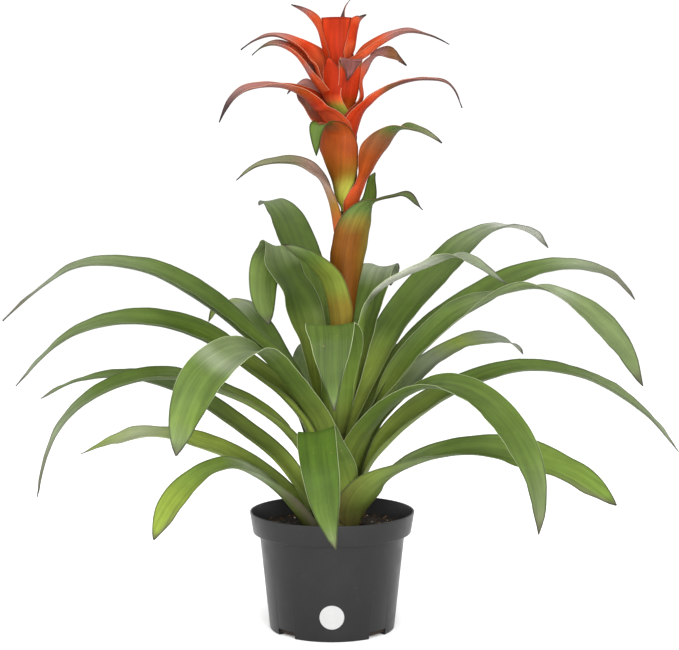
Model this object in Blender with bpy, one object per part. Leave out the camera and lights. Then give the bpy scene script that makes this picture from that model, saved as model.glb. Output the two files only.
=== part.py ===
"""A bromeliad in a nursery pot: strap leaves in a rosette, and a leafy stalk with orange bracts.

Lengths are written in millimetres and turned into Blender's metres by MM.
The pot stands on z = 0, its axis is the Z axis and +X is to the right of someone at its label.
Every leaf and bract is one closed blade, and its base wraps the stem as part of a turned cup.
The cups nest, so the list of leaves runs from the outermost to the innermost.
"""

import math
from collections import namedtuple

import bmesh
import bpy
import numpy as np

MM = 0.001

# Pot
POT_SIDES = 48
POT_HEIGHT = 112 * MM
POT_RIM_RADIUS = 78.4 * MM
POT_BAND_RADIUS = 75.2 * MM
POT_BAND_HEIGHT = 20 * MM
POT_BODY_TOP_RADIUS = 69.3 * MM
POT_BASE_RADIUS = 59.4 * MM
POT_WALL = 1.6 * MM
POT_FLOOR = 2.4 * MM
POT_EDGE = 1.2 * MM
NOTCH_AZIMUTHS = (44, 136, 224, 316)
NOTCH_WIDTH = 22 * MM
NOTCH_HEIGHT = 6.5 * MM
NOTCH_DEPTH = 10 * MM

# Label, a blank paper disc on the front wall
LABEL_RADIUS = 11.5 * MM
LABEL_HEIGHT = 24 * MM
LABEL_THICKNESS = 0.4 * MM
LABEL_RINGS = 4
LABEL_SIDES = 24

# Soil
GAP = 0.3 * MM
SOIL_TOP = 98 * MM
SOIL_DIP = 2 * MM
SOIL_HOLE_RADIUS = 33 * MM
SOIL_HOLE_FLOOR = 78 * MM

# Stem: a stub inside the rosette that runs on as the flower stalk
STEM_SIDES = 20
STEM_FOOT_RADIUS = 23 * MM
STEM_CROWN_LOW = 91 * MM
STEM_CROWN_HIGH = 196 * MM
STEM_CROWN_RADIUS = 25 * MM
STEM_NECK_RADIUS = 6.5 * MM
STEM_TOP = 548 * MM
STEM_TOP_RADIUS = 3.2 * MM

# The plant leans over the pot's +X side by this much, most at BOW_HEIGHT
LEAN_SHIFT = 2 * MM
BOW = 12.5 * MM
BOW_HEIGHT = 400 * MM
BOW_SPAN = 150 * MM

# Blades
LEAF_THICKNESS = 0.9 * MM
BRACT_THICKNESS = 0.8 * MM
BLADE_COLUMNS = 4
BEND_WEIGHT = 18 * MM
TIP_WIDTH = 1.2 * MM
LEAF_ROOT_LOW = 92 * MM
LEAF_ROOT_HIGH = 194 * MM

# How each kind of blade is shaped: how far its full width reaches towards the tip, half the angle
# that its channel turns through near its foot, beyond its middle and at its tip, the radii
# between which it leaves the cup, and its widest wrap
Kind = namedtuple("Kind", "thickness steps fullness channel cup wrap")
LEAF = Kind(LEAF_THICKNESS, 14, 7, (62, 40, 14), (24 * MM, 48 * MM), 72)
SHEATH = Kind(BRACT_THICKNESS, 12, 1.8, (70, 45, 25), (18 * MM, 34 * MM), 110)
BRACT = Kind(BRACT_THICKNESS, 10, 1.35, (70, 45, 25), (11 * MM, 23 * MM), 62)

# A blade's azimuth is in degrees from +X, counter-clockwise from above.
# Roll lifts its counter-clockwise margin, in degrees halfway along and at the tip.
# Its spine lists where it passes, in millimetres: out from the axis, up from the table and,
# where it leaves the plane of its azimuth, aside to the counter-clockwise.
Leaf = namedtuple("Leaf", "azimuth width roll spine")
Bract = namedtuple("Bract", "azimuth width roll root spine")

LEAVES = [
    Leaf(212, 34, (-14, -20), [(50, 127), (84, 154), (112, 165), (140, 161), (165, 142), (189, 102)]),
    Leaf(92, 34, (0, 0), [(50, 130), (100, 160), (150, 165), (200, 145), (238, 108)]),
    Leaf(162, 35, (-9, -12), [(50, 127), (84, 150), (126, 168), (165, 177), (218, 174), (268, 152)]),
    Leaf(342, 46, (20, 34), [(41, 141), (86, 168), (138, 178), (184, 173), (230, 156), (268, 132)]),
    Leaf(156, 34, (-8, -12), [(52, 152), (104, 188), (168, 220), (232, 232), (288, 224), (336, 204)]),
    Leaf(270, 38, (0, 0), [(36, 140, 9), (54, 165, 5), (78, 193, -5), (100, 206, -14), (120, 192, -15),
                           (127, 160, -13), (128, 130, -9), (125, 97, 3)]),
    Leaf(8, 41, (18, 14), [(38, 165), (73, 203), (120, 231), (180, 246), (240, 237), (296, 208),
                           (339, 161)]),
    Leaf(97, 34, (0, 0), [(44, 162), (80, 188), (112, 198), (145, 192), (170, 174)]),
    Leaf(40, 32, (10, 14), [(42, 185), (82, 221), (120, 247), (170, 268), (216, 266), (253, 246)]),
    Leaf(198, 35, (-13, -10), [(48, 190), (78, 215), (116, 233), (168, 247), (216, 240), (257, 206),
                               (283, 145)]),
    Leaf(72, 34, (8, 8), [(40, 197), (84, 240), (128, 260), (176, 249), (218, 210)]),
    Leaf(314, 40, (12, 12), [(42, 195), (80, 228), (122, 244), (168, 238), (209, 215), (238, 179),
                             (248, 126)]),
    Leaf(140, 34, (-8, -8), [(44, 211), (80, 254), (108, 285), (134, 303), (160, 303), (176, 284)]),
    Leaf(190, 40, (-22, -16), [(46, 220), (84, 252), (132, 282), (185, 299), (238, 292), (299, 240)]),
    Leaf(350, 38, (5, 34), [(43, 217), (79, 261), (122, 300), (176, 322), (224, 312), (262, 281),
                            (285, 239)]),
    Leaf(228, 48, (-10, -36), [(42, 222, -5), (73, 254, -8), (112, 276, -5), (146, 272), (178, 252),
                               (195, 222), (204, 188)]),
    Leaf(20, 36, (13, 22), [(44, 233), (84, 278), (134, 312), (184, 334), (232, 343), (278, 338),
                            (313, 307)]),
    Leaf(103, 36, (0, 0), [(37, 219), (62, 246), (94, 260), (130, 252), (162, 226), (184, 190)]),
    Leaf(180, 38, (-14, -14), [(42, 241), (86, 280), (132, 317), (187, 345), (240, 347), (284, 328),
                               (320, 295)]),
    Leaf(38, 46, (8, 12), [(37, 239), (66, 287), (107, 333), (159, 366), (205, 380), (241, 377),
                           (268, 359)]),
    Leaf(117, 44, (-6, -6), [(31, 240), (52, 282), (79, 328), (109, 365), (144, 396), (174, 407),
                             (203, 402)]),
    Leaf(148, 46, (8, 45), [(24, 231), (38, 269), (57, 311), (75, 348), (84, 356), (91, 343), (89, 315),
                            (82, 289)]),
    Leaf(268, 42, (0, 0), [(16.5, 216), (23, 247), (34, 280), (50, 296), (66, 284), (72, 254),
                           (74, 217)]),
    Leaf(62, 46, (0, 0), [(19, 228), (31, 273), (52, 320), (73, 343), (90, 340), (99, 322)]),
    Leaf(325, 24, (10, 10), [(15, 220), (19, 262), (28, 306), (48, 329), (82, 346), (118, 354),
                             (148, 350), (172, 333)]),
]

SHEATHS = [
    Bract(215, 46, (0, 0), 243, [(13, 280), (18, 318), (27, 341), (43, 356), (62, 366)]),
    Bract(285, 60, (0, 0), 262, [(10, 292), (16, 328), (21.5, 360), (22.5, 385), (25, 403, 14),
                                 (30, 411, 38), (34, 411, 54), (36, 398, 63)]),
    Bract(185, 48, (-20, -14), 345, [(11, 375), (18, 412), (29, 432), (43, 441.5), (65, 443.5),
                                     (84, 439), (104, 425)]),
]

BRACTS = [
    Bract(46, 34, (0, 0), 376, [(11, 397), (24, 413), (37, 424), (43, 433)]),
    Bract(316, 58, (12, 6), 384, [(12, 408), (22, 435), (40, 459), (62, 472), (92, 469), (118, 457)]),
    Bract(246, 58, (0, 0), 396, [(13.5, 420), (20, 448), (27, 472), (37, 485), (47, 477, -5),
                                 (51, 451, -8)]),
    Bract(100, 32, (0, 0), 410, [(11, 434), (20, 458), (36, 472), (52, 464)]),
    Bract(85, 28, (0, 0), 443, [(13, 465), (25, 484), (42, 496), (56, 490)]),
    Bract(352, 38, (14, 4), 450, [(11, 471), (21, 492), (46, 510), (77, 519), (100, 514), (111, 492)]),
    Bract(205, 48, (-22, -6), 457, [(11, 477), (22, 492), (44, 505.5), (72, 511), (103, 504),
                                    (125, 477)]),
    Bract(152, 52, (0, 0), 469, [(11, 489), (22, 507), (36, 519), (49, 516), (57, 507)]),
    Bract(284, 28, (0, 0), 479, [(12, 497), (17, 518), (23, 532), (29, 526), (30, 508)]),
    Bract(20, 36, (8, 60), 474, [(11, 490), (15, 505), (20, 521), (29, 537), (42, 546), (54, 546),
                                 (64, 538), (70, 530)]),
    Bract(184, 50, (-20, -8), 490, [(12, 508), (23, 525), (42, 543), (59, 551), (71, 549), (82, 541)]),
    Bract(250, 34, (0, 0), 496, [(9, 510), (14, 523), (20, 535)]),
    Bract(178, 54, (-30, -6), 503, [(9, 520), (18, 536), (38, 551), (60, 560), (78, 556), (92, 547)]),
    Bract(352, 44, (16, 6), 507, [(11, 525), (21, 541), (41, 555), (64, 563), (85, 559), (103, 550)]),
    Bract(100, 54, (0, 0), 513, [(10, 529), (15, 545), (20, 560), (24, 575)]),
    Bract(196, 56, (0, 0), 524, [(11, 544), (18, 565), (28, 579), (45, 587)]),
    Bract(338, 56, (0, 0), 530, [(12, 549), (18.5, 565), (23, 576), (30, 577)]),
    Bract(266, 56, (0, 0), 536, [(9, 554), (14, 568), (18, 579)]),
    Bract(73, 14, (0, 0), 542, [(7, 556), (12, 570), (22, 585), (47, 599)]),
]

POT_COLOUR = (0.018, 0.018, 0.02)
SOIL_COLOUR = (0.012, 0.008, 0.006)
LABEL_COLOUR = (0.85, 0.85, 0.85)
STEM_COLOUR = (0.22, 0.25, 0.05)
LEAF_LOW_COLOUR = (0.16, 0.26, 0.04)
LEAF_HIGH_COLOUR = (0.08, 0.19, 0.04)
BRACT_LOW_COLOUR = (0.34, 0.13, 0.03)
BRACT_HIGH_COLOUR = (0.70, 0.09, 0.03)


def clear_scene():
    for old in list(bpy.data.objects):
        bpy.data.objects.remove(old, do_unlink=True)


def blend(low, high, share):
    return tuple(a + (b - a) * share for a, b in zip(low, high))


def ease(value, start, stop):
    """Smooth step from 0 at start to 1 at stop."""
    share = np.clip((value - start) / (stop - start), 0, 1)
    return share * share * (3 - 2 * share)


def add_object(name, shape, colour, roughness, smooth_angle):
    mesh = bpy.data.meshes.new(name)
    shape.to_mesh(mesh)
    shape.free()
    mesh.shade_smooth()
    mesh.set_sharp_from_angle(angle=math.radians(smooth_angle))
    finish = bpy.data.materials.new(name)
    finish.use_nodes = True
    shader = finish.node_tree.nodes["Principled BSDF"]
    shader.inputs["Base Color"].default_value = (*colour, 1)
    shader.inputs["Roughness"].default_value = roughness
    shader.inputs["Metallic"].default_value = 0
    mesh.materials.append(finish)
    item = bpy.data.objects.new(name, mesh)
    bpy.context.scene.collection.objects.link(item)
    return item


def turned(profile, sides):
    """Solid of revolution whose profile of (radius, height) starts and ends on the axis."""
    shape = bmesh.new()
    points = [shape.verts.new((radius, 0, height)) for radius, height in profile]
    edges = [shape.edges.new(pair) for pair in zip(points, points[1:])]
    bmesh.ops.spin(shape, geom=points + edges, cent=(0, 0, 0), axis=(0, 0, 1),
                   angle=math.tau, steps=sides, use_merge=True)
    bmesh.ops.remove_doubles(shape, verts=shape.verts, dist=0.01 * MM)
    bmesh.ops.recalc_face_normals(shape, faces=shape.faces)
    return shape


def wall_radius(height):
    """Outer radius of the pot's tapered body."""
    band_foot = POT_HEIGHT - POT_BAND_HEIGHT
    return POT_BASE_RADIUS + (POT_BODY_TOP_RADIUS - POT_BASE_RADIUS) * height / band_foot


def make_pot():
    band_foot = POT_HEIGHT - POT_BAND_HEIGHT
    profile = [
        (0, 0),
        (POT_BASE_RADIUS - POT_EDGE, 0),
        (wall_radius(POT_EDGE), POT_EDGE),
        (POT_BODY_TOP_RADIUS, band_foot),
        (POT_BAND_RADIUS - POT_EDGE, band_foot),
        (POT_BAND_RADIUS, band_foot + POT_EDGE),
        (POT_RIM_RADIUS, POT_HEIGHT - POT_EDGE),
        (POT_RIM_RADIUS - POT_EDGE / 2, POT_HEIGHT),
        (POT_RIM_RADIUS - POT_WALL, POT_HEIGHT - POT_EDGE / 2),
        (POT_BAND_RADIUS - POT_WALL, band_foot + POT_WALL),
        (POT_BODY_TOP_RADIUS - POT_WALL, band_foot + POT_WALL),
        (wall_radius(POT_FLOOR) - POT_WALL, POT_FLOOR),
        (0, POT_FLOOR),
    ]
    pot = add_object("pot", turned(profile, POT_SIDES), POT_COLOUR, 0.45, 30)
    for number, azimuth in enumerate(NOTCH_AZIMUTHS, start=1):
        cutter = add_object(f"drain_cutter_{number}", box_shape(), POT_COLOUR, 0.5, 30)
        angle = math.radians(azimuth)
        reach = POT_BASE_RADIUS
        cutter.location = (reach * math.cos(angle), reach * math.sin(angle), 0)
        cutter.rotation_euler = (0, 0, angle)
        cutter.hide_render = True
        cutter.display_type = "WIRE"
        cut = pot.modifiers.new("drain", "BOOLEAN")
        cut.operation = "DIFFERENCE"
        cut.object = cutter


def box_shape():
    """Cutter for one drain notch, centred on the pot's foot."""
    shape = bmesh.new()
    bmesh.ops.create_cube(shape, size=2)
    bmesh.ops.scale(shape, verts=shape.verts, vec=(NOTCH_DEPTH, NOTCH_WIDTH / 2, NOTCH_HEIGHT))
    return shape


def make_soil():
    band_foot = POT_HEIGHT - POT_BAND_HEIGHT
    inner_band = POT_BAND_RADIUS - POT_WALL - GAP
    profile = [
        (0, POT_FLOOR + GAP),
        (wall_radius(POT_FLOOR) - POT_WALL - GAP, POT_FLOOR + GAP),
        (POT_BODY_TOP_RADIUS - POT_WALL - GAP, band_foot + POT_WALL + GAP),
        (inner_band, band_foot + POT_WALL + GAP),
        (inner_band, SOIL_TOP - SOIL_DIP),
        (SOIL_HOLE_RADIUS + 20 * MM, SOIL_TOP),
        (SOIL_HOLE_RADIUS, SOIL_TOP - SOIL_DIP / 2),
        (SOIL_HOLE_RADIUS - 4 * MM, SOIL_HOLE_FLOOR),
        (0, SOIL_HOLE_FLOOR),
    ]
    shape = turned(profile, POT_SIDES)
    add_object("soil", shape, SOIL_COLOUR, 0.95, 40)


def make_label():
    """Disc bent to the pot's cone, GAP off its wall."""
    shape = bmesh.new()
    faces = []
    for lift in (GAP + LABEL_THICKNESS, GAP):
        rings = []
        for ring in range(1, LABEL_RINGS + 1):
            radius = LABEL_RADIUS * ring / LABEL_RINGS
            rings.append([shape.verts.new(on_wall(radius, k, lift)) for k in range(LABEL_SIDES)])
        faces.append((shape.verts.new(on_wall(0, 0, lift)), rings))
    for centre, rings in faces:
        for k in range(LABEL_SIDES):
            shape.faces.new((centre, rings[0][k], rings[0][k - 1]))
            for inner, outer in zip(rings, rings[1:]):
                shape.faces.new((inner[k - 1], inner[k], outer[k]))
                shape.faces.new((inner[k - 1], outer[k], outer[k - 1]))
    front, back = faces[0][1][-1], faces[1][1][-1]
    for k in range(LABEL_SIDES):
        shape.faces.new((front[k - 1], front[k], back[k], back[k - 1]))
    bmesh.ops.recalc_face_normals(shape, faces=shape.faces)
    add_object("label", shape, LABEL_COLOUR, 0.5, 30)


def on_wall(radius, step, lift):
    """Point of the label's disc, laid on the front of the pot's cone."""
    turn = math.tau * step / LABEL_SIDES
    height = LABEL_HEIGHT + radius * math.sin(turn)
    out = wall_radius(height) + lift
    angle = radius * math.cos(turn) / out
    return (out * math.sin(angle), -out * math.cos(angle), height)


def stem_radius(height):
    """Radius of the stub inside the rosette, and of the stalk above it."""
    if height < STEM_CROWN_HIGH:
        share = (height - STEM_CROWN_LOW) / (STEM_CROWN_HIGH - STEM_CROWN_LOW)
        return STEM_CROWN_RADIUS + (STEM_NECK_RADIUS - STEM_CROWN_RADIUS) * share
    share = (height - STEM_CROWN_HIGH) / (STEM_TOP - STEM_CROWN_HIGH)
    return STEM_NECK_RADIUS + (STEM_TOP_RADIUS - STEM_NECK_RADIUS) * share


def bow(height):
    """How far the plant stands to +X of the pot's axis at a height."""
    return LEAN_SHIFT + BOW * np.exp(-((height - BOW_HEIGHT) / BOW_SPAN) ** 2)


def lean_over(shape):
    for vert in shape.verts:
        vert.co.x += bow(vert.co.z)


def make_stem():
    profile = [(0, SOIL_HOLE_FLOOR + GAP), (STEM_FOOT_RADIUS, SOIL_HOLE_FLOOR + GAP)]
    for height in np.linspace(STEM_CROWN_LOW, STEM_CROWN_HIGH, 4):
        profile.append((stem_radius(height), height))
    for height in np.linspace(STEM_CROWN_HIGH, STEM_TOP, 13)[1:]:
        profile.append((stem_radius(height), height))
    profile.append((0, STEM_TOP))
    shape = turned(profile, STEM_SIDES)
    lean_over(shape)
    add_object("stem", shape, STEM_COLOUR, 0.6, 40)


def smooth_path(points, steps):
    """Cubic curve through points, read at places that crowd where it bends."""
    points = np.array([(*point, 0)[:3] for point in points], float)
    gaps = np.linalg.norm(np.diff(points, axis=0), axis=1)
    slopes = np.diff(points, axis=0) / gaps[:, None]
    tangents = np.empty_like(points)
    weight = (gaps[:-1] / (gaps[:-1] + gaps[1:]))[:, None]
    tangents[1:-1] = slopes[:-1] * (1 - weight) + slopes[1:] * weight
    tangents[0] = 1.5 * slopes[0] - 0.5 * tangents[1]
    tangents[-1] = 1.5 * slopes[-1] - 0.5 * tangents[-2]
    fine = []
    for start, stop, first, last, gap in zip(points, points[1:], tangents, tangents[1:], gaps):
        for t in np.arange(0, 1, 0.05):
            fine.append((2 * t**3 - 3 * t**2 + 1) * start + (t**3 - 2 * t**2 + t) * gap * first
                        + (3 * t**2 - 2 * t**3) * stop + (t**3 - t**2) * gap * last)
    fine.append(points[-1])
    fine = np.array(fine)
    runs = np.diff(fine, axis=0)
    lengths = np.linalg.norm(runs, axis=1)
    headings = runs / lengths[:, None]
    bends = np.linalg.norm(np.diff(headings, axis=0, prepend=headings[:1]), axis=1)
    effort = np.concatenate([[0], np.cumsum(lengths + BEND_WEIGHT * bends)])
    travel = np.concatenate([[0], np.cumsum(lengths)])
    stops = np.linspace(0, effort[-1], steps + 1)
    path = np.stack([np.interp(stops, effort, fine[:, axis]) for axis in range(3)], axis=1)
    return path, np.interp(stops, effort, travel) / travel[-1]


def unit(vectors):
    return vectors / np.linalg.norm(vectors, axis=-1, keepdims=True)


def blade_surface(azimuth, width, roll, kind, path, share):
    """Middle surface of a blade, as an array of rows along it and columns across it."""
    across = np.linspace(-1, 1, BLADE_COLUMNS + 1)
    angle = math.radians(azimuth)
    outward = np.array([math.cos(angle), math.sin(angle), 0])
    aside = np.array([-math.sin(angle), math.cos(angle), 0])
    upward = np.array([0, 0, 1])
    spine = path[:, :1] * outward + path[:, 1:2] * upward + path[:, 2:] * aside
    along = unit(np.gradient(spine, axis=0))
    heading = np.arctan2(spine[:, 1], spine[:, 0])
    side = np.stack([-np.sin(heading), np.cos(heading), 0 * heading], axis=1)
    side = unit(side - along * np.sum(side * along, axis=1, keepdims=True))
    face = np.cross(along, side)
    turn = roll[0] * ease(share, 0.05, 0.32) + (roll[1] - roll[0]) * ease(share, 0.5, 0.85)
    turn = np.radians(turn)[:, None]
    rolled_side = side * np.cos(turn) + face * np.sin(turn)
    rolled_face = face * np.cos(turn) - side * np.sin(turn)
    half = TIP_WIDTH / 2 + (width - TIP_WIDTH) / 2 * (1 - share**kind.fullness) ** 0.9
    bend = np.radians(np.interp(share, (0.1, 0.6, 1), kind.channel))[:, None]
    sideways = half[:, None] * np.sin(bend * across) / bend
    inward = half[:, None] * ((1 + np.cos(bend)) / 2 - np.cos(bend * across)) / bend
    free = (spine[:, None] + rolled_side[:, None] * sideways[..., None]
            + rolled_face[:, None] * inward[..., None])
    radius = np.hypot(spine[:, 0], spine[:, 1])
    spread = np.minimum(half / radius, math.radians(kind.wrap))
    around = heading[:, None] + spread[:, None] * across
    height = np.broadcast_to(spine[:, 2:], around.shape)
    clasping = np.stack([radius[:, None] * np.cos(around), radius[:, None] * np.sin(around), height], axis=2)
    freed = ease(radius, *kind.cup)[:, None, None]
    return clasping * (1 - freed) + free * freed


def blade_shape(surface, thickness):
    """Closed solid around a blade's middle surface, split into triangles alike on both faces."""
    rows, columns = surface.shape[:2]
    normals = unit(np.cross(np.gradient(surface, axis=0), np.gradient(surface, axis=1)))
    shape = bmesh.new()
    upper = [[shape.verts.new(point) for point in row] for row in surface + normals * thickness / 2]
    lower = [[shape.verts.new(point) for point in row] for row in surface - normals * thickness / 2]
    for grid, turned_over in ((upper, False), (lower, True)):
        for i in range(rows - 1):
            for j in range(columns - 1):
                corners = (grid[i][j], grid[i + 1][j], grid[i + 1][j + 1], grid[i][j + 1])
                for triangle in ((0, 1, 2), (0, 2, 3)):
                    face = [corners[k] for k in triangle]
                    shape.faces.new(face[::-1] if turned_over else face)
    for i in range(rows - 1):
        shape.faces.new((upper[i][0], lower[i][0], lower[i + 1][0], upper[i + 1][0]))
        shape.faces.new((upper[i + 1][-1], lower[i + 1][-1], lower[i][-1], upper[i][-1]))
    for j in range(columns - 1):
        shape.faces.new((upper[0][j + 1], lower[0][j + 1], lower[0][j], upper[0][j]))
        shape.faces.new((upper[-1][j], lower[-1][j], lower[-1][j + 1], upper[-1][j + 1]))
    bmesh.ops.recalc_face_normals(shape, faces=shape.faces)
    lean_over(shape)
    return shape


def root_radius(kind, width, height):
    """Distance from the axis at which a root's flat strips stay GAP off the stem between their corners."""
    seat = stem_radius(height) + GAP + kind.thickness / 2
    spread = min(width / 2 / seat, math.radians(kind.wrap))
    return seat / math.cos(spread / BLADE_COLUMNS)


def make_blade(name, kind, blade, root_height, colour, roughness):
    width = blade.width * MM
    root = (root_radius(kind, width, root_height), root_height)
    spine = [[length * MM for length in point] for point in blade.spine]
    path, share = smooth_path([root] + spine, kind.steps)
    surface = blade_surface(blade.azimuth, width, blade.roll, kind, path, share)
    add_object(name, blade_shape(surface, kind.thickness), colour, roughness, 60)


def make_leaves():
    for rank, leaf in enumerate(LEAVES):
        share = rank / (len(LEAVES) - 1)
        height = LEAF_ROOT_LOW + (LEAF_ROOT_HIGH - LEAF_ROOT_LOW) * share
        colour = blend(LEAF_LOW_COLOUR, LEAF_HIGH_COLOUR, share)
        make_blade(f"leaf_{rank + 1:02d}", LEAF, leaf, height, colour, 0.4)


def make_bracts():
    blades = [(SHEATH, bract) for bract in SHEATHS] + [(BRACT, bract) for bract in BRACTS]
    for rank, (kind, bract) in enumerate(blades):
        colour = blend(BRACT_LOW_COLOUR, BRACT_HIGH_COLOUR, rank / (len(blades) - 1))
        make_blade(f"bract_{rank + 1:02d}", kind, bract, bract.root * MM, colour, 0.45)


def main():
    clear_scene()
    make_pot()
    make_soil()
    make_label()
    make_stem()
    make_leaves()
    make_bracts()


if __name__ == "__main__":
    main()
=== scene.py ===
"""Finished look of a potted bromeliad: pot, soil, strap leaves and a stalk of orange bracts.

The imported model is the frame. Each piece here takes the place of one of its nodes, in metres,
with the same form in more rows and columns and with its finish.
"""

import math
from collections import namedtuple

import bmesh
import bpy
import numpy as np
from bpy.props import FloatProperty, FloatVectorProperty, IntProperty, PointerProperty
from bpy.types import Operator, Panel, PropertyGroup
from mathutils import Matrix, Vector, noise


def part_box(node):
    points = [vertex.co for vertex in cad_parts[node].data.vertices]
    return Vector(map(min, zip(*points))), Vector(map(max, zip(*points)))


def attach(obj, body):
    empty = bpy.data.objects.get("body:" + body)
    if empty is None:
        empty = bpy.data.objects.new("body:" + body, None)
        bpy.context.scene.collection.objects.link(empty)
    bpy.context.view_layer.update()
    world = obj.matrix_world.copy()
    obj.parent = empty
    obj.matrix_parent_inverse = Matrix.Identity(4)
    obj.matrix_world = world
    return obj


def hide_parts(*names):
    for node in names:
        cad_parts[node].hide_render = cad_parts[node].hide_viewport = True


bl_info = {
    "name": "Potted bromeliad",
    "version": (1, 0, 0),
    "blender": (4, 5, 0),
    "location": "3D View > Sidebar > Bromeliad",
    "description": "Makes the finished pieces of a potted bromeliad round its packed model",
    "category": "Add Mesh",
}

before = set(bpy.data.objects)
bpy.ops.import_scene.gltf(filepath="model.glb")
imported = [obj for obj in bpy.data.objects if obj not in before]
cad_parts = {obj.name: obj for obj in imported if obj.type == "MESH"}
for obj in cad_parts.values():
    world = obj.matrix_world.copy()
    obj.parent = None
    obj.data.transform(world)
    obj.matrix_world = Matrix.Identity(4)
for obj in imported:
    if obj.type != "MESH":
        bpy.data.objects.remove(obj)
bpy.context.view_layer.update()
POT_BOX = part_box("pot")
SOIL_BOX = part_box("soil")
STEM_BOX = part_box("stem")
MM = 0.001
BODY = "root"

# Pot
POT_STEPS = 144
POT_BAND_FOOT = 92 * MM
POT_ROUNDING = 0.9 * MM
EDGE_ROUNDING = 0.25 * MM
NOTCH_AZIMUTHS = (44, 136, 224, 316)
NOTCH_DEPTH = 10 * MM
NOTCH_CORNER = 1.5 * MM

# Label
LABEL_SIDES = 96
LABEL_RINGS = 10
LABEL_THICKNESS = 0.35 * MM
LABEL_EDGE = 0.15 * MM

# Soil
GAP = 0.3 * MM
SOIL_STEPS = 96
SOIL_FALL = 2 * MM
SLOPE_STEPS = 8
CREST_WIDTH = 20 * MM
# Steps from the hollow's edge outwards and from the mix's top downwards that round its mouth
HOLLOW_MOUTH = ((10 * MM, 0.3 * MM), (0, SOIL_FALL / 2), (-2 * MM, 8 * MM))
HOLLOW_TAPER = 4 * MM
HOLLOW_FLOOR = 78 * MM
LUMP_SCALE = 90
LUMP_SINK = 0.4

# The plant leans over the pot's +X side by this much, most at BOW_HEIGHT
LEAN_SHIFT = 2 * MM
BOW = 12.5 * MM
BOW_HEIGHT = 400 * MM
BOW_SPAN = 150 * MM

# Stem
STEM_STEPS = 40
CROWN_ROWS = 12
STALK_ROWS = 60
STEM_FOOT_RADIUS = 23 * MM
STEM_CROWN_LOW = 91 * MM
STEM_CROWN_HIGH = 196 * MM
STEM_CROWN_RADIUS = 25 * MM
STEM_NECK_RADIUS = 6.5 * MM
STEM_TOP_RADIUS = 3.2 * MM

# Blades
BEND_WEIGHT = 18 * MM
LEAF_ROOT_LOW = 92 * MM
LEAF_ROOT_HIGH = 194 * MM
ROOT_COLUMNS = 4
RIPPLE_PITCHES = (21 * MM, 37 * MM, 68 * MM)
PITCH_RANGE = (0.85, 1.2)
RIPPLE_START = (30 * MM, 90 * MM)
# Shares of the way along a blade between which its pale margins fade, its dry tip starts, and a
# roll of two values comes in and then changes; and those where its channel's three angles stand
PALE_END = (0.7, 0.92)
DRY_START = (0.96, 0.99)
ROLL_START = (0.05, 0.32)
ROLL_CHANGE = (0.5, 0.85)
CHANNEL_STOPS = (0.1, 0.6, 1)
# Step of the fine curve between two places of a spine; places that the values along a blade are
# read at, and the odd number of them that are blended into each
CURVE_STEP = 0.05
SOFT_PLACES = 201
SOFT_BLEND = 17
# Steps in the pattern's third direction, so that no two blades and no two sides look the same
PATTERN_STEP = 1.7
UNDERSIDE_STEP = 0.5

# How each kind of blade is shaped: thickness; how far its full width reaches towards the tip; half
# the angle in degrees that its channel turns through near its foot, beyond its middle and at its
# tip; the radii between which it leaves the cup; its widest wrap in degrees; how strong its pale
# margins are; its tip's width in millimetres; its girth; and the tones of its left and right flank
Kind = namedtuple("Kind", "thickness fullness channel cup wrap pale tip girth left right",
                  defaults=(1.2, None, None, None))
LEAF = Kind(0.9 * MM, 7, (62, 40, 14), (24 * MM, 48 * MM), 72, 0.2)
SHEATH = Kind(0.8 * MM, 1.8, (70, 45, 25), (18 * MM, 34 * MM), 110, 0.6)
BRACT = Kind(0.8 * MM, 1.5, (70, 45, 25), (12 * MM, 26 * MM), 96, 0.5)

# Cup of a blade that never leaves it: radii far beyond the plant
CLASPING = (5, 10)

# Azimuth in degrees from +X, counter-clockwise from above; width in millimetres; roll in degrees;
# the root's height in millimetres, or None for a share of the crown; the spine's places out, up
# and aside in millimetres; the tones that follow each other from root to tip, with their places
# in hundredths of the way; and what differs from its kind. Two rolls are those halfway along and
# at the tip. Other rolls, and girth as a share of the width, stand at the places of STOPS or are
# (place, value) pairs.
Blade = namedtuple("Blade", "azimuth width roll root spine tones form")
STOPS = {5: (0, 0.25, 0.5, 0.75, 1), 7: (0, 0.25, 0.5, 0.68, 0.8, 0.9, 1)}

# Tones of a plain strap leaf
STRAP = "foot 0-22 mid 42-60 fresh 76 pale 90 dry 100"


def entry(azimuth, width, roll, root, spine, tones, **form):
    return Blade(azimuth, width, roll, root, spine, tones, form)


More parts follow.
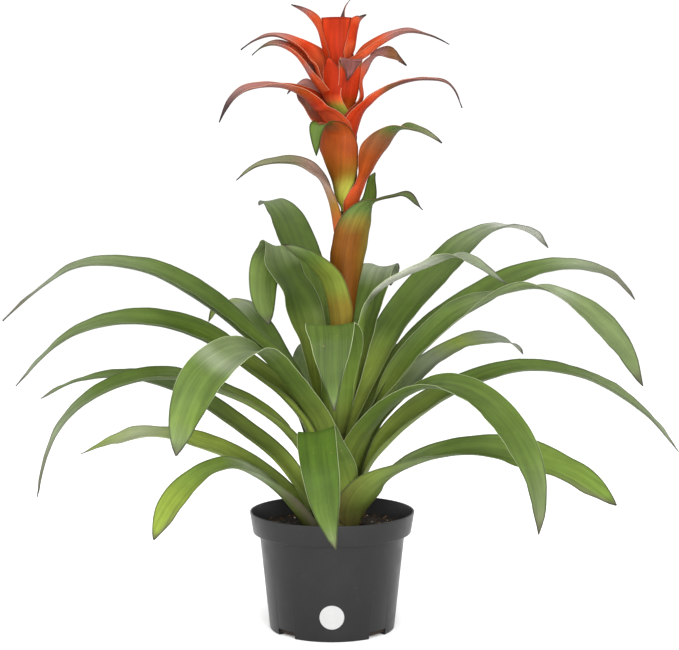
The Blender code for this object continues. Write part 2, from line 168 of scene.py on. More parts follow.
LEAVES = [
    entry(212, 34, (6, -13, -14, -20, -17), None, ((49.9, 127), (84.3, 154.3), (113.7, 166.3, 0.7),
        (140.1, 161.4), (165.7, 142.8), (189.6, 104.5)),
        "husk 0 foot 14 pale 30 silver 42 sprig 55-69 lime 82-96 dry 100",
        girth=(0.99, 1.04, 0.87, 0.76, 1.14, 1.32, 1.36),
        left="husk 0 dry 6-20 pale 32 silver 42 sprig 55 lime 82 dry 100"),
    entry(92, 34, (0, 0), None, ((50, 130), (100, 160), (150, 165), (200, 145), (238, 108)), STRAP),
    entry(162, 35, (2, -8, -13, -7, -23, -17, -11), None, ((49.4, 126.8), (84, 150.1), (130.1, 168.7),
        (174.6, 177.6, 1.3), (209.9, 175, -2.2), (268.4, 153.1, 0.7)),
        "shoot 0 foot 20-30 shoot 45-56 cream 76 shoot 95 dry 100",
        girth=(1, 0.99, 1.07, 0.98, 1.21, 1.2, 0.8)),
    entry(342, 46, (-20, 8, 22, 30, 36), 101, ((43.3, 141.7, -19), (86.5, 168.3, -9), (144.4, 179.1, -3.4),
        (185.4, 172.8), (230.4, 157.5), (267.1, 132.2)),
        "husk 0 foot 12 pale 30 fresh 42-56 sprig 75-97 dry 100", girth=((0, 0.87), (0.08, 1.58),
        (0.16, 1.26), (0.25, 0.94), (0.5, 0.81), (0.68, 1.09), (0.8, 0.87), (0.9, 1.08), (1, 1.02)),
        right="husk 0-10 foot 20 pale 34 fresh 46 sprig 75 dry 100"),
    entry(156, 34, (3, -7, -8, -11, -24), None, ((51.7, 151.8), (104.2, 188), (167.8, 219.9),
        (230.9, 231.6), (292.5, 222.8, 0.6), (334.9, 202.7)),
        "foot 0 shoot 12 foot 20-33 mid 45 deep 55-66 fresh 82 pale 95 dry 100",
        girth=(1, 0.99, 1, 1.01, 0.93, 0.45, 2)),
    entry(270, 38, (-16, -18, 12, 5, 26), None, ((33, 129.6, 7.2), (45.8, 155.5, 4.4), (63, 181.5, -6.4),
        (91, 201.5, -17.5), (112.1, 183.5, -15.2), (124.3, 159.7, -10.9), (126.2, 133.1, -6.7),
        (125.1, 100.7, 1.7)), "foot 0-16 mid 30 fresh 42 vivid 50-75 fresh 90 pale 96 dry 100",
        girth=((0, 0.71), (0.12, 0.83), (0.25, 0.98), (0.4, 0.86), (0.5, 0.93), (0.6, 0.97), (0.8, 0.94),
        (1, 0.72)), channel=(58, 12, 12), pale=0.6),
    entry(8, 41, (-8, 16, 20, 14, 18), None, ((37.8, 164.9), (73.2, 203.3), (120.6, 231.3),
        (180.5, 246.8, 1), (239.4, 237.9), (303.3, 200.8, -0.8), (339.9, 161.1)),
        "shoot 0-10 foot 28 mid 38 fresh 50-60 pale 72-84 silver 95 dry 100",
        girth=(0.98, 1.08, 0.72, 0.7, 1.13, 0.94, 1.62)),
    entry(97, 34, (0, 0), None, ((44, 162), (80, 188), (112, 198), (145, 192), (170, 174)), STRAP),
    entry(40, 32, (-1, 10, 9, 19, 16), None, ((41.5, 184.6), (82.8, 221.5), (120.1, 247.6),
        (176.1, 264.5, 1.3), (227.8, 261.1, -2.8), (252, 246.2)),
        "foot 0-30 pale 43 silver 56 lime 69 silver 82-95 dry 100",
        girth=(1, 0.99, 1, 0.82, 1.32, 1.4, 1.2)),
    entry(198, 35, (-1, -13, -14, -4, -7), None, ((47.4, 190.1, 2.9), (78.5, 215.2), (115.2, 232.6, 3.4),
        (167.2, 247.7, 2), (213.3, 240.4), (255.9, 211.2), (281.3, 140.9, 2.3)),
        "foot 0-30 pale 42 mid 56 fresh 70 silver 84 dry 100",
        girth=(0.95, 0.95, 0.99, 1.18, 0.81, 0.48, 0.8)),
    entry(72, 34, (8, 8), None, ((40, 197), (84, 240), (128, 260), (176, 249), (218, 210)), STRAP),
    entry(314, 40, (-4, 11, 13, 10, 9), None, ((41.5, 194.4), (80.1, 228), (122, 244), (168.1, 238.2),
        (210.3, 214.1), (242.5, 168, 1.3), (248.9, 126, -1.2)),
        "foot 0-12 mid 22-35 fresh 42 mid 56-72 fresh 82 pale 93 dry 100",
        girth=(1, 1, 0.99, 1.01, 1.03, 0.84, 1.04), pale=0.7),
    entry(140, 34, (-8, -8), None, ((44, 211), (80, 254), (108, 285), (134, 303), (160, 303), (176, 284)),
        "foot 0-22 mid 42 fresh 58-70 silver 80 lime 93-100"),
    entry(190, 40, (4, -20, -23, -13, -9), None, ((46, 220.4, 0.8), (86.7, 253.5), (133.3, 283.9, 0.8),
        (187.2, 297.4, -0.9), (244.2, 288), (299.7, 236.8)),
        "shoot 0-15 foot 24-36 mid 46 deep 56 fresh 66 pale 85 silver 94 dry 100",
        girth=(1, 0.98, 1.08, 1.11, 0.98, 0.48, 1.1)),
    entry(350, 38, ((0, -21), (0.25, 36), (0.45, 36), (0.6, -21), (0.7, 20), (0.85, 34), (1, 43)), None,
        ((41.9, 218.2, -1.5), (74.2, 269.3), (114.3, 306.1), (190.1, 325.5), (222.3, 309, -2.5),
        (257.9, 277.4, -0.8), (283.5, 236.7, -1.2)),
        "foot 0-20 mid 32 fresh 43 pale 52-62 silver 70 pale 76-95 dry 100", girth=((0, 1), (0.25, 1.03),
        (0.5, 1), (0.62, 0.68), (0.7, 0.68), (0.8, 1.2), (0.9, 1.25), (1, 1.07)), pale=0.5),
    entry(228, 48, (-10, -36), None, ((42, 222, -5), (73, 254, -8), (112, 276, -5), (146, 272), (178, 252),
        (195, 222), (204, 188)),
        "foot 0-16 mid 30-44 pale 54-64 silver 69 fresh 74-82 sprig 90 pale 97 dry 100", pale=0.9),
    entry(20, 36, (2, 8, 18, 20, 34), None, ((42.8, 230.9), (89.2, 282.3), (138.5, 311.6, -1.6),
        (181, 333.1, 0.6), (233.8, 342.8), (285.8, 331.3, -0.8), (314.3, 306.9, 0.6)),
        "foot 0-20 mid 34 fresh 48 mid 60 fresh 70 silver 82 dry 100",
        girth=(1.02, 0.93, 1.36, 1.03, 0.94, 1.1, 1.7)),
    entry(103, 36, (0, 0), None, ((37, 219), (62, 246), (94, 260), (130, 252), (162, 226), (184, 190)),
        STRAP),
    entry(180, 38, (1, -12, -15, -12, -18), None, ((41.8, 241.1), (85.1, 279.3), (131.4, 315.5),
        (193.4, 344.8), (261.2, 342.4), (283.3, 327.3), (320.9, 293)),
        "foot 0 mid 30 deep 45 fresh 60 pale 72 silver 86 dry 96-100",
        girth=(1.01, 0.93, 1.31, 1.12, 0.91, 0.42, 1)),
    entry(38, 46, (1, 5, 11, -1, 11), None, ((36.6, 238.5), (68.7, 290.8), (120.9, 340, -1.4),
        (161.5, 369.8), (205.3, 381.5), (238.9, 375, -1.8), (268.4, 357.5)),
        "shoot 0-20 fresh 33 mid 48-60 pale 70 silver 77 bloom 82-93 dry 100",
        girth=(1.02, 0.98, 1.12, 1.09, 0.96, 1.14, 0.82)),
    entry(117, 44, (-6, -6), None, ((31, 240), (52, 282), (79, 328), (109, 365), (144, 396), (174, 407),
        (203, 402)), "foot 0 sprig 40 mid 56 deep 70 mid 80 pale 93 dry 100"),
    # Lime at this leaf's foot is painted light that lightens it where shade falls.
    entry(148, 46, ((0, 0), (0.2, -18), (0.42, -30), (0.54, -6), (0.63, -15), (0.72, 13), (0.8, 46),
        (1, 46)), None, ((25.6, 229.7), (33.8, 269.7), (49.1, 311.8), (70, 346, 3.7), (82.5, 363.5, -1),
        (92.4, 351.7, -4.3), (93.8, 322.4, -1.1), (83.3, 286.6)),
        "lime 0-26 foot 36 deep 46-60 pale 67-73 sprig 81-97 dry 100", girth=((0, 1), (0.25, 1),
        (0.42, 0.9), (0.52, 1.02), (0.62, 1.2), (0.75, 0.95), (0.88, 1.25), (1, 1.85)),
        channel=(62, 14, 8), fullness=4, pale=0.5),
    entry(268, 42, (0, 0, 0, 0, 3), None, ((16.6, 215.8), (22.9, 247), (36.5, 279.1, -3.1),
        (49.5, 292.8, -9.1), (59.1, 285.7, -7.2), (66.3, 258.7, -4.8), (69.9, 216.2)),
        "olive 0 foot 13 sprig 20-30 fresh 45 mid 60 deep 72-86 fresh 93 pale 97 dry 100",
        girth=(1, 1, 2.13, 2.38, 1.67), channel=(62, 8, 4), fullness=1.1, pale=1),
    entry(62, 46, (0, 0), None, ((19, 228), (31, 273), (52, 320), (73, 343), (90, 340), (99, 322)),
        "foot 0-35 mid 47-68 silver 78-96 dry 100", pale=0.8),
    entry(325, 24, (0, -17, 6, 0, 8), None, ((15.4, 219.7), (20.3, 261.4, 0.6), (26.2, 313.6, 6.5),
        (47.9, 329.6, -0.6), (85.4, 346.5, 1.1), (121.9, 357.2, 1.4), (147.8, 346.7), (172.8, 332.7)),
        "shoot 0 sprig 35 silver 44 bloom 50-68 silver 78-100", girth=(1, 0.8, 0.67, 1.62, 1.03), pale=1),
]

SHEATHS = [
    entry(215, 44, (0, 0, 7, 5, 34), 243, ((9.3, 281.4, 1.4), (17.2, 317.8, 1.5), (27.1, 339.4, 2),
        (43.8, 353.9), (70, 366.2, -2.8)),
        "amber 0 clay 20 ochre 34-44 leek 56-68 fresh 80 pale 93 dry 100",
        girth=(1, 1.05, 1.16, 1.46, 1.21), fullness=2.2, pale=0.15),
    entry(285, 60, (0, 0, -8, 15, 10), 262, ((10.1, 290.4), (13, 327.9), (19.2, 362.3), (21.6, 382.3, 3.3),
        (22.9, 403.7, 15.1), (29.3, 410.3, 36.3), (35.3, 412.1, 43.2), (35.4, 397.6, 62.5)),
        "clay 0-55 ochre 62 moss 68-93 char 100", girth=((0, 1), (0.25, 1.01), (0.5, 0.92), (0.62, 1.09),
        (0.7, 0.95), (0.76, 0.48), (0.82, 0.49), (0.9, 1.28), (0.96, 1.53), (1, 0.82)),
        left="clay 0-30 ochre 42-60 moss 68 char 100", right="clay 0-58 moss 66 char 100", pale=0.15),
    entry(185, 48, (0, -24, -20, -15, -13), 345, ((11.8, 374.7, -0.7), (18.8, 409.6, -1.4),
        (28.6, 432, -0.6), (42.7, 441.2), (64.5, 443.3), (83.9, 439), (104, 425)),
        "coral 0-18 amber 33 fawn 45-56 ash 68-94 char 100", girth=(1, 0.78, 0.95, 1.04, 1), pale=0.2),
]

BRACTS = [
    entry(46, 34, (0, 0, 4, 5, 6), 376, ((11, 397.2), (27.6, 404.7, -1.8), (35.2, 429.4),
        (41, 433.2, 2.4)), "sprig 0-100", girth=(1, 1, 0.99, 1.04, 1.07), pale=0),
    entry(316, 58, (1, 34, 8, 7, 6), 384, ((10.7, 409, 5.2), (23.9, 434.1, 2.5), (42.2, 456.3),
        (63.8, 471.9, 0.8), (92.1, 468.9, 0.9), (117.9, 456.9)),
        "orange 0-10 coral 22 orange 34 rust 45 umber 58 moss 68 ash 93 char 100",
        girth=(0.77, 0.51, 1.26, 0.98, 0.97), pale=0.5),
    entry(246, 58, (0, -20, -7, -1, 7), 396, ((4.4, 406.7, -8.7), (22.5, 448.1, -0.7), (25.1, 470),
        (37, 476.5, -1.2), (47, 475.9, -3.5), (50.5, 446.7, -7.7)),
        "sprout 0-10 straw 17 clay 27 orange 60 umber 70 moss 78-100", girth=(1, 0.87, 1.22, 0.95, 0.91),
        left="sprout 0-23 amber 34 orange 46 rust 70 mid 76-100",
        right="sprout 0-23 amber 34 orange 46 rust 70 mid 76-100", pale=0.1),
    entry(100, 32, (0, 0), 410, ((11, 434), (20, 458), (36, 472), (52, 464)),
        "orange 0 rust 50 dusk 80 char 100"),
    entry(85, 28, (0, 0), 443, ((13, 465), (25, 484), (42, 496), (56, 490)),
        "red 0 rust 50 dusk 80 char 100"),
    entry(352, 38, (-2, 15, 6, 8, 1), 450, ((11.5, 470.6, -1.6), (20.6, 494.2, -2.1), (45.4, 511.9, -0.8),
        (77.5, 519.1, 1.2), (100.2, 514.2), (110.8, 491.6)),
        "red 0 flame 15-32 coral 40 umber 47 plum 58 dusk 90 char 100",
        girth=(1.21, 1.12, 0.71, 0.93, 0.99), pale=0.8),
    entry(205, 48, (-3, -27, -8, -15, 0), 457, ((15.2, 474.8), (23.1, 493.3), (41.9, 506.8),
        (72.2, 512, -1.4), (104, 503.7), (125, 476.5)),
        "coral 0-16 red 30 orange 42 rose 55-70 dusk 78 char 90-100", girth=(1.01, 1.36, 0.64, 0.92, 0.99),
        pale=0.8),
    entry(152, 52, (0, -21, -30, -21, -7), 469, ((19.6, 479.3, -1.4), (26.6, 497.2, 1.9), (36.7, 509.1),
        (42.6, 517.3, -1.6), (59.3, 507.5)), "coral 0-25 blush 45 rose 60-80 dusk 92 char 100",
        girth=(1, 1.19, 1.36, 1.05, 0.99)),
    entry(280, 25, (0, 4, -1, 2, 3), 479, ((8.1, 491, 0.7), (17, 502.7, 2.5), (22.8, 521.3, 4.7),
        (28.8, 533.7, 4.8), (36.5, 534.5, 3.9), (30.3, 522.9, 2.3), (34.6, 514.9, -1.2)),
        "orange 0-20 red 32-45 flame 56 umber 62 plum 66-100", girth=(1.06, 0.86, 1.07, 1.58, 0.64),
        channel=(60, 10, 4), fullness=2.2, pale=0.7),
    entry(20, 36, (-2, -15, -55, 49, 66), 474, ((10.4, 491, -1.1), (17.4, 500.1, -3.5), (20.2, 519.6),
        (28.7, 536.1, -0.8), (35, 543.1, -2), (54.4, 542.4, -6.6), (61, 540, 3.2), (68.4, 534.1, 2.9)),
        "flame 0 coral 45 rose 56-69 umber 77-90 char 100", girth=(0.93, 0.65, 0.6, 1.4, 1.1)),
    entry(184, 50, (0, -11, -19, -18, 2), 482, ((16.3, 503.4), (26, 524.5), (41.9, 545.5), (58.4, 551.9),
        (71.6, 548.9), (81.8, 540.8)), "flame 0 coral 30-38 rose 44 coral 52-66 rose 74 ash 92 char 100",
        girth=(1, 0.99, 0.99, 1.19, 0.95), wrap=55, pale=0.7),
    entry(250, 22, (0, 0), 485, ((18.9, 502.3, -4.6), (21.8, 516, -0.9), (26.1, 537.9, -1.8)),
        "sprout 0-20 coral 33 red 43-90 flame 100", girth=(0.9, 0.99, 1.03, 1.6, 1.7),
        channel=(60, 50, 30), cup=CLASPING, fullness=2.4, pale=0.8),
    entry(178, 54, (-1, -39, -25, -11, -2), 492, ((15.7, 510.3, -1), (22, 536.9, -0.8), (38.3, 552.6, 0.8),
        (61.1, 560.5), (78.4, 555.6, 1.4), (92.2, 546.8, -1.3)),
        "coral 0-38 flame 50 coral 56 rose 68 dusk 90 char 96-100", girth=(1.03, 1.16, 0.75, 0.74, 0.98),
        wrap=55, pale=0.7),
    entry(352, 44, (16, 6), 507, ((11, 525), (21, 541), (41, 555), (64, 563), (85, 559), (103, 550)),
        "flame 0 coral 30-47 rose 58 dusk 85 char 95-100"),
    entry(100, 54, (0, 0), 513, ((10, 529), (15, 545), (20, 560), (24, 575)), "ember 0 red 50 rust 100"),
    entry(196, 50, (0, -3, 6, 1, 3), 524, ((12.2, 537.7, -1.7), (19.8, 569.1, -1.6), (23.4, 574.4, 1.3),
        (44.1, 586.7)), "flame 0-30 coral 56-72 rose 85 char 100", girth=(1, 0.71, 0.68, 1.03, 1), wrap=62),
    entry(338, 44, (0, 1, 0, -9, 1), 530, ((12.9, 544), (19, 569.8, -2.3), (22.7, 575.2, 1.5),
        (29, 577.7, -1)), "flame 0 coral 20-40 flame 50-70 coral 80 dusk 90 char 100",
        girth=(1, 0.99, 1, 1.19, 1.01), wrap=55),
    entry(266, 30, (0, 0), 513, ((12, 527.9, -0.6), (15.6, 544.8, -2.3), (18.2, 562.1, -1.5),
        (21.6, 574.4)), "ember 0 red 35-100", girth=(0.55, 0.51, 0.49, 0.82, 1.04),
        left="red 0-50 flame 100", right="red 0-50 flame 100", channel=(62, 55, 40), cup=CLASPING,
        fullness=6, tip=29),
    entry(73, 7, (0, 0), 542, ((7, 556), (12, 570), (22, 585), (47, 599)), "red 0 rust 40 char 55-100",
        girth=((0, 1), (0.5, 1), (0.62, 0.55), (1, 0.3)), tip=0.8),
]


def length(label, description, default):
    return FloatProperty(name=label, description=description, default=default, unit="LENGTH",
                         subtype="DISTANCE", precision=4)


def share(label, description, default):
    return FloatProperty(name=label, description=description, default=default, min=0, max=1,
                         subtype="FACTOR")


def power(label, description, default):
    return FloatProperty(name=label, description=description, default=default, unit="POWER")


def colour(label, description, *default):
    return FloatVectorProperty(name=label, description=description, default=default, min=0, max=1,
                               size=3, subtype="COLOR")


class PotSizes(PropertyGroup):
    """Sizes and colours of the nursery pot and its label."""

    height: length("Height", "Height of the pot over the table", POT_BOX[1][2])
    rim_radius: length("Rim radius", "Outer radius of the rim", POT_BOX[1][0])
    band_radius: length("Band radius", "Outer radius at the foot of the rim band", 75.2 * MM)
    shoulder_radius: length("Shoulder radius", "Outer radius of the wall under the band", 69.3 * MM)
    base_radius: length("Base radius", "Outer radius of the wall at the table", 59.4 * MM)
    wall: length("Wall", "Thickness of the plastic", 1.6 * MM)
    floor: length("Floor", "Thickness of the pot's floor", 2.4 * MM)
    notch_width: length("Notch width", "Width of a drain notch", 22 * MM)
    notch_height: length("Notch height", "Height of a drain notch", 6.5 * MM)
    label_radius: length("Label radius", "Radius of the blank paper label", 11.5 * MM)
    label_height: length("Label height", "Height of the label's centre", 24 * MM)
    plastic: colour("Plastic", "Colour of the pot's plastic", 0.0062, 0.0062, 0.0066)
    dust: colour("Dust", "Colour of the dust on the plastic", 0.16, 0.14, 0.12)
    paper: colour("Paper", "Colour of the label", 0.275, 0.275, 0.272)


class SoilSizes(PropertyGroup):
    """Sizes, amounts and colours of the potting mix."""

    top: length("Top", "Height of the mix in the pot", SOIL_BOX[1][2])
    hollow: length("Hollow", "Radius of the hollow round the plant's foot", 33 * MM)
    lumps: length("Lumps", "How high the surface is lumped", 1.6 * MM)
    crumbs: FloatProperty(name="Crumbs", description="Crumbs for each square metre", default=95000)
    bark: FloatProperty(name="Bark", description="Bark chips for each square metre", default=5200)
    perlite: FloatProperty(name="Perlite", description="White grains for each square metre", default=1500)
    seed: IntProperty(name="Seed", description="Number that the scatter starts from", default=7)
    peat: colour("Peat", "Colour of the crumbs", 0.02, 0.014, 0.01)
    chips: colour("Bark chips", "Colour of the bark", 0.085, 0.045, 0.022)
    grains: colour("Grains", "Colour of the perlite", 0.62, 0.6, 0.55)


class BladeSizes(PropertyGroup):
    """Sizes shared by the leaves and the bracts."""

    rows: IntProperty(name="Rows", description="Rows of faces along a blade", default=56, min=12)
    columns: IntProperty(name="Columns", description="Columns of faces across a blade", default=14, min=6)
    margin_share: share("Margin thickness", "Thickness at the margins against the middle", 0.42)
    ripple: length("Ripple", "How far the margins ripple", 0.55 * MM)
    rim: length("Pale margin", "Width of the pale line along the margins", 0.45 * MM)
    # Painted shade: the darker band along a blade's margins stands in for shade, not for a colour of the
    # blade.
    band: length("Dark margin", "How far in the darker band along the margins reaches", 2.2 * MM)
    veins: length("Veins", "Distance between the veins", 1.15 * MM)
    dry_tip: share("Dry tip", "How much darker the last bit of a blade is", 0.4)
    glow: share("Glow", "Share of the light that a blade lets through", 0.22)


class PlantColours(PropertyGroup):
    """Colours that the blades pass through from root to tip."""

    husk: colour("Husk", "Brown of the outer cups at the soil", 0.07, 0.062, 0.017)
    # Partly the leaves' own light green and partly painted light: it lightens leaf feet that lie in shade,
    # and most of leaf_03.
    shoot: colour("Shoot", "Light green of the sheltered feet", 0.2, 0.262, 0.044)
    foot: colour("Leaf foot", "Olive green of the leaves' feet", 0.1, 0.138, 0.023)
    deep: colour("Deep green", "Darkest leaf green", 0.04, 0.067, 0.009)
    mid: colour("Leaf green", "Main leaf green", 0.053, 0.086, 0.012)
    vivid: colour("Vivid green", "Green of the leaf over the pot", 0.037, 0.071, 0.005)
    fresh: colour("Fresh green", "Light leaf green", 0.068, 0.108, 0.02)
    sprig: colour("Sprig", "Yellower light green", 0.092, 0.142, 0.022)
    pale: colour("Pale green", "Greyed green towards the tips", 0.104, 0.14, 0.052)
    lime: colour("Lime", "Yellow-green of the ageing tips", 0.165, 0.222, 0.03)
    olive: colour("Olive", "Brown-green of the stalk", 0.064, 0.078, 0.015)
    # Painted sheen: a lighter grey-green laid where a leaf folds, standing in for the light it catches.
    silver: colour("Silver green", "Scaly sheen where a leaf folds", 0.155, 0.185, 0.108)
    # Painted highlight: a nearly white glint laid on folded edges where they catch the light.
    bloom: colour("Bloom", "Nearly white scales on a folded edge", 0.34, 0.36, 0.29)
    dry: colour("Dry", "Dried tip", 0.11, 0.102, 0.062)
    cream: colour("Cream", "Pale line along a leaf's margins", 0.3, 0.34, 0.19)
    red: colour("Bract red", "Deep orange-red of the bracts", 0.225, 0.014, 0.002)
    flame: colour("Flame", "Bright orange-red of the bracts", 0.33, 0.026, 0.005)
    coral: colour("Coral", "Lighter orange-red of the arching bracts", 0.42, 0.06, 0.018)
    orange: colour("Bract orange", "Orange of the lower bracts", 0.215, 0.035, 0.004)
    ember: colour("Ember", "Dark red at the bracts' feet", 0.225, 0.016, 0.003)
    rust: colour("Rust", "Brown-orange", 0.18, 0.036, 0.006)
    clay: colour("Clay", "Brown-orange of the stalk's long leaf", 0.112, 0.037, 0.003)
    amber: colour("Amber", "Olive-orange", 0.22, 0.11, 0.013)
    umber: colour("Umber", "Red-brown where a bract turns grey", 0.145, 0.06, 0.024)
    rose: colour("Rose", "Greyed pink-brown", 0.245, 0.105, 0.09)
    plum: colour("Plum", "Brown-violet back of a folded bract", 0.122, 0.042, 0.037)
    dusk: colour("Dusk", "Grey-purple", 0.15, 0.083, 0.076)
    ash: colour("Ash", "Grey-green of the bracts' ends", 0.135, 0.14, 0.072)
    moss: colour("Moss", "Green of the lowest bracts", 0.07, 0.108, 0.024)
    straw: colour("Straw", "Olive-yellow at a bract's end", 0.18, 0.15, 0.028)
    sprout: colour("Sprout", "Yellow-green at the bracts' feet", 0.225, 0.222, 0.028)
    ochre: colour("Ochre", "Yellow-brown foot of the long green leaf", 0.14, 0.104, 0.014)
    leek: colour("Leek", "Yellow-green of the long leaf on the stalk", 0.118, 0.15, 0.022)
    fawn: colour("Fawn", "Pale brown of an arching stalk leaf", 0.27, 0.175, 0.135)
    char: colour("Char", "Dark dry tip", 0.05, 0.03, 0.03)
    blush: colour("Blush", "Pale line along a bract's margins", 0.45, 0.2, 0.13)
    # Painted shade: the stalk's colour is darkened by half for the shade of the leaves round it.
    stalk: colour("Stalk", "Colour of the stalk", 0.052, 0.04, 0.01)


class StageSizes(PropertyGroup):
    """The floor, the soft lights and the camera."""

    floor_radius: length("Floor radius", "Radius of the pale floor", 9)
    camera_distance: length("Camera distance", "Camera's distance from the pot's axis", 1.5)
    camera_height: length("Camera height", "Camera's height over the table", 0.402)
    aim_height: length("Aim height", "Height of the place that the camera looks at", 0.289)
    aside: length("Aside", "How far the camera stands to +X of the pot's axis", 0.007)
    focal: FloatProperty(name="Focal length", description="Focal length of the lens in millimetres",
                         default=84.38, subtype="NONE")
    sky: FloatProperty(name="Surround", description="Strength of the even light all round", default=1.1)
    front: power("Front light", "Power of the large soft light over the camera", 85)
    left: power("Left light", "Power of the soft light in front at the left", 20)
    right: power("Right light", "Power of the soft light in front at the right", 12)
    top: power("Top light", "Power of the soft light overhead", 22)
    pale: colour("Floor", "Colour of the floor", 0.92, 0.92, 0.92)


# ---- node helpers

def feed(value, socket):
    """Links what feeds a socket, or sets its plain value."""
    if isinstance(value, bpy.types.NodeSocket):
        socket.id_data.links.new(value, socket)
    else:
        socket.default_value = (*value, 1) if socket.type == "RGBA" else value


def node(tree, kind, inputs=(), **settings):
    """Adds a node with its settings and feeds its inputs, given by socket name or number."""
    item = tree.nodes.new(kind)
    for key, value in settings.items():
        setattr(item, key, value)
    for key, value in dict(inputs).items():
        feed(value, item.inputs[key])
    return item


def sockets(tree, direction, entries):
    for name, kind, *default in entries:
        socket = tree.interface.new_socket(name, in_out=direction, socket_type="NodeSocket" + kind)
        if default:
            socket.default_value = default[0]


def maths(operation, *values):
    tree = next(value for value in values if isinstance(value, bpy.types.NodeSocket)).id_data
    return node(tree, "ShaderNodeMath", enumerate(values), operation=operation).outputs[0]


def times(first, second):
    return maths("MULTIPLY", first, second)


def more(value, factor, base):
    """Value times factor plus base."""
    return maths("MULTIPLY_ADD", value, factor, base)


def scaled(vector, factor):
    return node(vector.id_data, "ShaderNodeVectorMath", {0: vector, "Scale": factor},
                operation="SCALE").outputs[0]


def spread(value, from_low, from_high, to_low=0.0, to_high=1.0, curve="SMOOTHSTEP"):
    """Value brought from one range to another."""
    return node(value.id_data, "ShaderNodeMapRange", {
        "Value": value, "From Min": from_low, "From Max": from_high, "To Min": to_low,
        "To Max": to_high}, interpolation_type=curve).outputs["Result"]


def mixed(factor, first, second):
    return node(factor.id_data, "ShaderNodeMix", {0: factor, 6: first, 7: second},
                data_type="RGBA").outputs[2]


def cloud(place, scale, detail=2.0, roughness=0.5, distortion=0.0):
    return node(place.id_data, "ShaderNodeTexNoise", {
        "Vector": place, "Scale": scale, "Detail": detail, "Roughness": roughness,
        "Distortion": distortion}).outputs["Fac"]


def new_group(name, inputs, outputs):
    """Shared shader group; gives its tree, what it is given and the sockets of its results."""
    tree = bpy.data.node_groups.new(name, "ShaderNodeTree")
    sockets(tree, "INPUT", inputs)
    sockets(tree, "OUTPUT", outputs)
    return tree, node(tree, "NodeGroupInput").outputs, node(tree, "NodeGroupOutput").inputs


def use_group(name, *values):
    return node(values[0].id_data, "ShaderNodeGroup", enumerate(values),
                node_tree=bpy.data.node_groups[name]).outputs


def blotches(place, size, low, high):
    return use_group("Blotches", place, size, low, high)["Mask"]


def tooth(place, size):
    return use_group("Fine grain", place, size)["Height"]


def build_long_veins():
    """Lengthwise streaks and fine ridges that run with a blade."""
    tree, given, result = new_group(
        "Long veins", [("Lie", "Vector"), ("Spacing", "Float", 0.001)],
        [("Streaks", "Float"), ("Ridges", "Float"), ("Broad", "Float")])
    parts = node(tree, "ShaderNodeSeparateXYZ", {0: given["Lie"]}).outputs
    across, along = (maths("DIVIDE", parts[axis], given["Spacing"]) for axis in "XY")

    def lane(across_share, along_share):
        return node(tree, "ShaderNodeCombineXYZ", {
            "X": times(across, across_share), "Y": times(along, along_share),
            "Z": parts["Z"]}).outputs[0]

    fine = cloud(lane(1.0, 0.012), 1.3, 3.0, 0.62)
    broad = cloud(lane(0.22, 0.012), 1.0)
    wander = times(cloud(lane(0.15, 0.02), 1.0, 1.0), 5.0)
    wave = maths("SINE", times(maths("ADD", across, wander), math.tau))
    feed(spread(fine, 0.30, 0.70, curve="LINEAR"), result["Streaks"])
    feed(spread(broad, 0.32, 0.68, curve="LINEAR"), result["Broad"])
    feed(more(fine, 0.6, more(wave, 0.30, 0.5)), result["Ridges"])


def build_blotches():
    """Soft patches of any size, as a mask."""
    tree, given, result = new_group(
        "Blotches", [("Place", "Vector"), ("Size", "Float", 0.01), ("Low", "Float", 0.45),
                     ("High", "Float", 0.65)], [("Mask", "Float")])
    place = scaled(given["Place"], maths("DIVIDE", 1.0, given["Size"]))
    value = cloud(place, 1.0, 4.0, 0.58, 0.4)
    feed(spread(value, given["Low"], given["High"]), result["Mask"])


def build_fine_grain():
    """Small even tooth of plastic, paper or peat, as a height."""
    tree, given, result = new_group("Fine grain", [("Place", "Vector"), ("Size", "Float", 0.0005)],
                                    [("Height", "Float")])
    place = scaled(given["Place"], maths("DIVIDE", 1.0, given["Size"]))
    coarse, fine = cloud(place, 0.35, 3.0, 0.6), cloud(place, 1.0)
    feed(more(coarse, 0.5, times(fine, 0.5)), result["Height"])


def new_material(name):
    for key, build in (("Long veins", build_long_veins), ("Blotches", build_blotches),
                       ("Fine grain", build_fine_grain)):
        if key not in bpy.data.node_groups:
            build()
    material = bpy.data.materials.new(name)
    material.use_nodes = True
    return material, material.node_tree


def coat(base, roughness, specular, bump=None):
    """Feeds the main shader; bump is a height with its strength and distance."""
    tree = base.id_data
    values = {"Base Color": base, "Roughness": roughness, "Specular IOR Level": specular}
    if bump:
        values["Normal"] = node(tree, "ShaderNodeBump", zip(("Height", "Strength", "Distance"),
                                                            bump)).outputs["Normal"]
    for key, value in values.items():
        feed(value, tree.nodes["Principled BSDF"].inputs[key])


